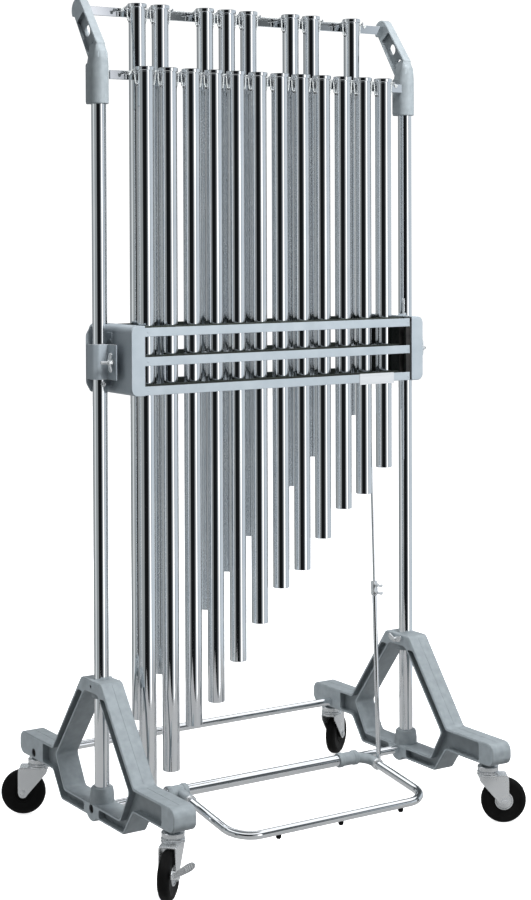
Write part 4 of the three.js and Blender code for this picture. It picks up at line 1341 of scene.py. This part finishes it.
def link_upper():
    """The rod that slides in the tube, with a ring round the shaft's pin."""
    x, y, z = LINK_HIGH
    ring = lathe([(3.2, -2.7), (6.5, -2.7), (7, -2.2), (7, 2.2), (6.5, 2.7), (3.2, 2.7)], 32, "x")
    return gathered(
        rod(link_point(LINK_JOINT - 75), link_point(z - 5.5), 2.9, 28, 0.4),
        shifted(ring, x + 1.75, y, z),
    )


def link_clamp():
    """The collar that holds rod and tube together, with two small wing screws."""
    at = LINK_JOINT + 1
    steps = ((0, 0.85), (0.06, 1), (0.94, 1), (1, 0.85))
    body = collar(link_point(at), link_point(at + 34), 8, steps)
    body = cut(body, rod(link_point(at - 5), link_point(at + 40), 3.2, 24, 0.1))
    wings = []
    for dz in (8, 26):
        wx, wy, wz = link_point(at + dz)
        small = moved(wing_solid(22, 5), Matrix.Rotation(0.5, 4, "Y") @ Matrix.Scale(0.6, 4))
        wings.append(shifted(small, wx, wy - 14, wz))
    return gathered(body, *wings)


piece("link_tube", link_lower(), TUBE_CHROME, "link", ["link_lower_tube"])
piece("link_rod", link_upper(), TUBE_CHROME, "link", ["link_upper_rod"])
piece("link_adjuster", link_clamp(), ZINC, "link", ["link_clamp"])

# ---------- casters


def fork_solid():
    """A pressed swivel head and two tapering side plates, with the wheel trailing towards +X."""
    inner = WHEEL_HALF + 2
    neck = WHEEL_RADIUS * 2 + 4
    race = [(0, 6), (20, 6), (24.4, 7.5), (25, 9.5), (24.2, 11), (21.5, 12), (21.5, 13.6)]
    race = [(radius, neck + rise) for radius, rise in [*race, (24, 14.6)]]
    head = lathe(race + [(24, FORK_TOP - 1.3), (22.8, FORK_TOP), (0, FORK_TOP)], 48)
    crown = [(0, 0), (23, 0), (25, 2), (25, 5), (22, 7), (0, 7)]
    crown = lathe([(radius, neck + rise) for radius, rise in crown], 48)
    bridge = box(-20, CASTER_TRAIL + 8, -inner - 3, inner + 3, neck - 0.5, neck + 4, 2, 3)
    x, z = CASTER_TRAIL, WHEEL_RADIUS
    outline = [(-23, neck + 4), (-21, neck - 8), (x - 11, z - 4), (x - 7, z - 10), (x, z - 12)]
    outline += [(x + 8, z - 9), (x + 11, z), (x + 11, neck - 10), (x + 9, neck + 4)]
    outline = corner_rounded(outline, 5)
    plates = [
        extruded([outline], "xz", inner, inner + 3, 0.9, 2),
        extruded([outline], "xz", -inner - 3, -inner, 0.9, 2),
    ]
    reach = inner + 3
    bolt = [
        rod((x, -reach - 3, z), (x, reach + 3, z), 4.9, 24, 0.6),
        rod((x, -reach - 2.6, z), (x, -reach, z), 7.2, 6, 0.5),
        rod((x, reach - 0.2, z), (x, reach + 0.8, z), 7.5, 28, 0.2),
    ]
    return gathered(head, crown, bridge, *plates, *bolt)


def tyre_solid():
    """The tyre: a rounded tread, a moulded ring on each side and a lip round the hub."""
    h, r = WHEEL_HALF, WHEEL_RADIUS
    side = [(21, 0), (21, h - 3.4), (23, h - 2.6), (r - 15, h - 2.2), (r - 13, h - 1.2)]
    side += [(r - 9, h - 1.2), (r - 7.5, h - 2), (r - 4.6, h - 3.2), (r - 1.8, h - 5.6)]
    side += [(r - 0.4, h - 8.4), (r, h - 11)]
    profile = side + [(u, -v) for u, v in reversed(side[1:])]
    return lathe(profile, 96, "y")


def hub_solid():
    """The dished hub inside the tyre."""
    h = WHEEL_HALF
    side = [(5.3, h - 0.2), (9, h - 0.2), (10, h - 1), (10.6, h - 3), (17, h - 3.4)]
    side += [(18.4, h - 1.8), (20.6, h - 1.6), (21.2, h - 2.6)]
    profile = side + [(u, -v) for u, v in reversed(side)]
    return lathe(profile, 72, "y")


def brake_solid():
    """A pressed lever that turns about the wheel's axle, with a rising tread that stands out."""
    y = WHEEL_HALF + 5.3
    outline = arc((0, 0), 10, 90, 270, 14)
    outline += [(14, -7), (54, -9), (57, 0), (54, 9), (14, 7)]
    outline = corner_rounded(outline, 2, 2)
    lever = extruded([outline], "xz", -y - 3, -y, 0.7, 2)
    leaf = [(y - 1, -5), (y + 9, -5), (y + 38, 10), (y + 46, 18), (y + 46, 26), (y + 39, 29)]
    leaf = corner_rounded([*leaf, (y + 28, 24), (y + 5, 6), (y - 1, 6)], 6)
    tread = extruded([leaf], "yz", 44, 47.4, 1.0, 2)
    ridges = []
    for i in range(4):
        ridge_y, ridge_z = y + 27 + 4 * i, 11 + 2.3 * i
        low_end, high_end = (47.3, ridge_y + 3, ridge_z - 2), (47.3, ridge_y - 2, ridge_z + 7)
        ridges.append(rod(low_end, high_end, 0.8, 10, 0.2))
    lever = cut(join(lever, tread), rod((0, y - 5, 0), (0, y + 30, 0), 5.3, 28, 0.1))
    return gathered(lever, *ridges)


fork = fork_solid()
tyre = tyre_solid()
hub = hub_solid()
brake = brake_solid()
for word in ("front_left", "front_right", "rear_left", "rear_right"):
    pivot = (Vector(JOINTS[f"{word}_swivel"]["pos_m"]) - ORIGIN) / MM
    centre = (Vector(JOINTS[f"{word}_wheel_spin"]["pos_m"]) - ORIGIN) / MM
    heading = Matrix.Rotation(math.atan2(centre.y - pivot.y, centre.x - pivot.x), 4, "Z")
    base = Matrix.Translation((pivot.x, pivot.y, 0)) @ heading
    hub_place = Matrix.Translation(centre) @ heading
    node = f"{word}_caster_fork"
    piece(f"{word}_swivel_fork", moved(fork, base), ZINC, f"{word}_fork", [node])
    node = f"{word}_caster_wheel"
    piece(f"{word}_tyre", moved(tyre, hub_place), RUBBER, f"{word}_wheel", [node])
    hub_look = ZINC if word.startswith("front") else RUBBER
    piece(f"{word}_wheel_hub", moved(hub, hub_place), hub_look, f"{word}_wheel", ())
    if word.startswith("front"):
        angle = math.radians(-20 if word == "front_left" else 20)
        place = hub_place @ Matrix.Rotation(angle, 4, "Y")
        node = f"{word}_caster_brake"
        piece(f"{word}_brake_lever", moved(brake, place), ZINC, f"{word}_brake", [node])

# ---------- floor, light and camera

YAW = math.radians(32.869)
PITCH_ANGLE = math.radians(-1.01)
ROLL = math.radians(-0.208)
CAMERA_PLACE = (-2259.736, -3518.877, 1351.983)
FOCAL = 73.135
SHIFT_Y = -0.2089


def stage_mesh(name, verts, faces, material):
    mesh = bpy.data.meshes.new(name)
    mesh.from_pydata(verts, [], faces)
    mesh.materials.append(material)
    thing = bpy.data.objects.new(name, mesh)
    bpy.context.scene.collection.objects.link(thing)
    return thing


def pale_look(name, base, glow):
    """A plain pale surface with a glow of its own."""
    material = bpy.data.materials.new(name)
    material.use_nodes = True
    shader = material.node_tree.nodes["Principled BSDF"]
    shader.inputs["Base Color"].default_value = (base, base, base, 1)
    shader.inputs["Roughness"].default_value = 0.5
    shader.inputs["Emission Color"].default_value = (1, 1, 1, 1)
    shader.inputs["Emission Strength"].default_value = glow
    return material


def dome(radius, rings=24, sides=48):
    """A sphere of quads that faces inwards."""
    verts = []
    for j in range(rings + 1):
        lift = math.pi * (j / rings - 0.5)
        across, height = radius * math.cos(lift), radius * math.sin(lift)
        for i in range(sides):
            turn = 2 * math.pi * i / sides
            verts.append((across * math.cos(turn), across * math.sin(turn), height))
    return verts, [face[::-1] for face in side_faces(rings + 1, sides)]


def flat_face(x0, x1, y0, y1, z):
    return [(x0, y0, z), (x1, y0, z), (x1, y1, z), (x0, y1, z)], [(0, 1, 2, 3)]


floor = stage_mesh("floor", *flat_face(-9, 9, -9, 9, 0), pale_look("pale_floor", 0.8, 0.8))
floor.visible_glossy = False
floor.visible_diffuse = False
backdrop = stage_mesh("backdrop", *dome(14), pale_look("white_backdrop", 0.0, 1.1))
backdrop.visible_glossy = False
backdrop.visible_diffuse = False
backdrop.visible_shadow = False

reflected = flat_face(-1.5, 1.4, -1.25, 1.4, -0.001)
near_floor = stage_mesh("near_floor", *reflected, pale_look("near_floor", 0.35, 0.28))
near_floor.visible_camera = False
near_floor.visible_shadow = False


def studio():
    """A soft studio as a ring of tones round the object: dark opposite the bells' front, a tall
    white strip beside it, pale blue to the right and behind, mid grey to the left. Directions
    that point up take a tone by their height instead."""
    world = bpy.data.worlds.new("studio")
    bpy.context.scene.world = world
    world.use_nodes = True
    nodes, links = world.node_tree.nodes, world.node_tree.links
    nodes.clear()
    direction = nodes.new("ShaderNodeTexCoord").outputs["Generated"]
    toward = (-math.sin(YAW), -math.cos(YAW), 0)
    right = (math.cos(YAW), -math.sin(YAW), 0)
    parts = []
    for axis in (right, toward):
        dot = nodes.new("ShaderNodeVectorMath")
        dot.operation = "DOT_PRODUCT"
        links.new(direction, dot.inputs[0])
        dot.inputs[1].default_value = axis
        parts.append(dot.outputs["Value"])
    angle = nodes.new("ShaderNodeMath")
    angle.operation = "ARCTAN2"
    links.new(parts[0], angle.inputs[0])
    links.new(parts[1], angle.inputs[1])
    around = fitted(nodes, links, angle.outputs[0], from_min=-math.pi, from_max=math.pi)
    stops = [
        (-180, (0.50, 0.54, 0.56)),
        (-140, (0.42, 0.44, 0.45)),
        (-137, (0.10, 0.105, 0.11)),
        (-127, (0.10, 0.105, 0.11)),
        (-124, (0.36, 0.38, 0.39)),
        (-96, (0.33, 0.35, 0.355)),
        (-86, (0.80, 0.83, 0.84)),
        (-76, (0.80, 0.83, 0.84)),
        (-66, (0.31, 0.33, 0.335)),
        (-36, (0.33, 0.35, 0.355)),
        (-26, (0.008, 0.009, 0.010)),
        (19, (0.008, 0.009, 0.010)),
        (26, (0.16, 0.17, 0.18)),
        (42, (0.55, 0.57, 0.58)),
        (45, (1.9, 1.9, 1.9)),
        (56, (1.9, 1.9, 1.9)),
        (60.5, (0.98, 1.0, 1.06)),
        (62, (0.10, 0.11, 0.115)),
        (67, (0.12, 0.13, 0.135)),
        (69.5, (0.62, 0.68, 0.74)),
        (180, (0.56, 0.61, 0.65)),
    ]
    ring = colour_ramp(nodes, [((degrees + 180) / 360, colour) for degrees, colour in stops])
    links.new(around, ring.inputs["Fac"])
    height = nodes.new("ShaderNodeSeparateXYZ")
    links.new(direction, height.inputs["Vector"])
    tones = [
        (0.0, (0.06, 0.065, 0.07)),
        (0.62, (0.07, 0.075, 0.08)),
        (0.66, (1.25, 1.27, 1.3)),
        (0.86, (1.25, 1.27, 1.3)),
        (0.90, (0.22, 0.23, 0.24)),
    ]
    above = colour_ramp(nodes, tones)
    links.new(height.outputs["Z"], above.inputs["Fac"])
    both = nodes.new("ShaderNodeMixRGB")
    rise = fitted(nodes, links, height.outputs["Z"], from_min=0.34, from_max=0.42)
    links.new(rise, both.inputs["Fac"])
    links.new(ring.outputs["Color"], both.inputs["Color1"])
    links.new(above.outputs["Color"], both.inputs["Color2"])
    background = nodes.new("ShaderNodeBackground")
    links.new(both.outputs["Color"], background.inputs["Color"])
    background.inputs["Strength"].default_value = 1.0
    output = nodes.new("ShaderNodeOutputWorld")
    links.new(background.outputs["Background"], output.inputs["Surface"])


studio()


def soft_light(name, place, target, size, power):
    light = bpy.data.lights.new(name, "AREA")
    light.shape = "DISK"
    light.size = size
    light.energy = power
    lamp = bpy.data.objects.new(name, light)
    lamp.location = place
    aim = Vector(target) - Vector(place)
    lamp.rotation_euler = aim.to_track_quat("-Z", "Y").to_euler()
    lamp.visible_glossy = False
    bpy.context.scene.collection.objects.link(lamp)


soft_light("key", (0.2, -1.8, 3.1), (-0.1, 0, 0.9), 1.3, 140)
soft_light("back", (0.3, 3.2, 1.3), (0, 0, 0.8), 2.2, 60)


def add_camera():
    """The camera at the picture's angle; its shift only frames the object."""
    level = math.cos(PITCH_ANGLE)
    forward = (math.sin(YAW) * level, math.cos(YAW) * level, math.sin(PITCH_ANGLE))
    forward = Vector(forward)
    flat = Vector((math.cos(YAW), -math.sin(YAW), 0))
    lift = flat.cross(forward)
    right = flat * math.cos(ROLL) + lift * math.sin(ROLL)
    up = lift * math.cos(ROLL) - flat * math.sin(ROLL)
    data = bpy.data.cameras.new("camera")
    data.lens = FOCAL
    data.sensor_width = 36
    data.sensor_fit = "AUTO"
    data.shift_y = SHIFT_Y
    data.clip_end = 60
    camera = bpy.data.objects.new("camera", data)
    columns = Matrix((right, up, -forward)).transposed().to_4x4()
    camera.matrix_world = Matrix.Translation(ORIGIN + Vector(CAMERA_PLACE) * MM) @ columns
    bpy.context.scene.collection.objects.link(camera)
    bpy.context.scene.camera = camera


add_camera()
bpy.context.scene.view_settings.view_transform = "Standard"
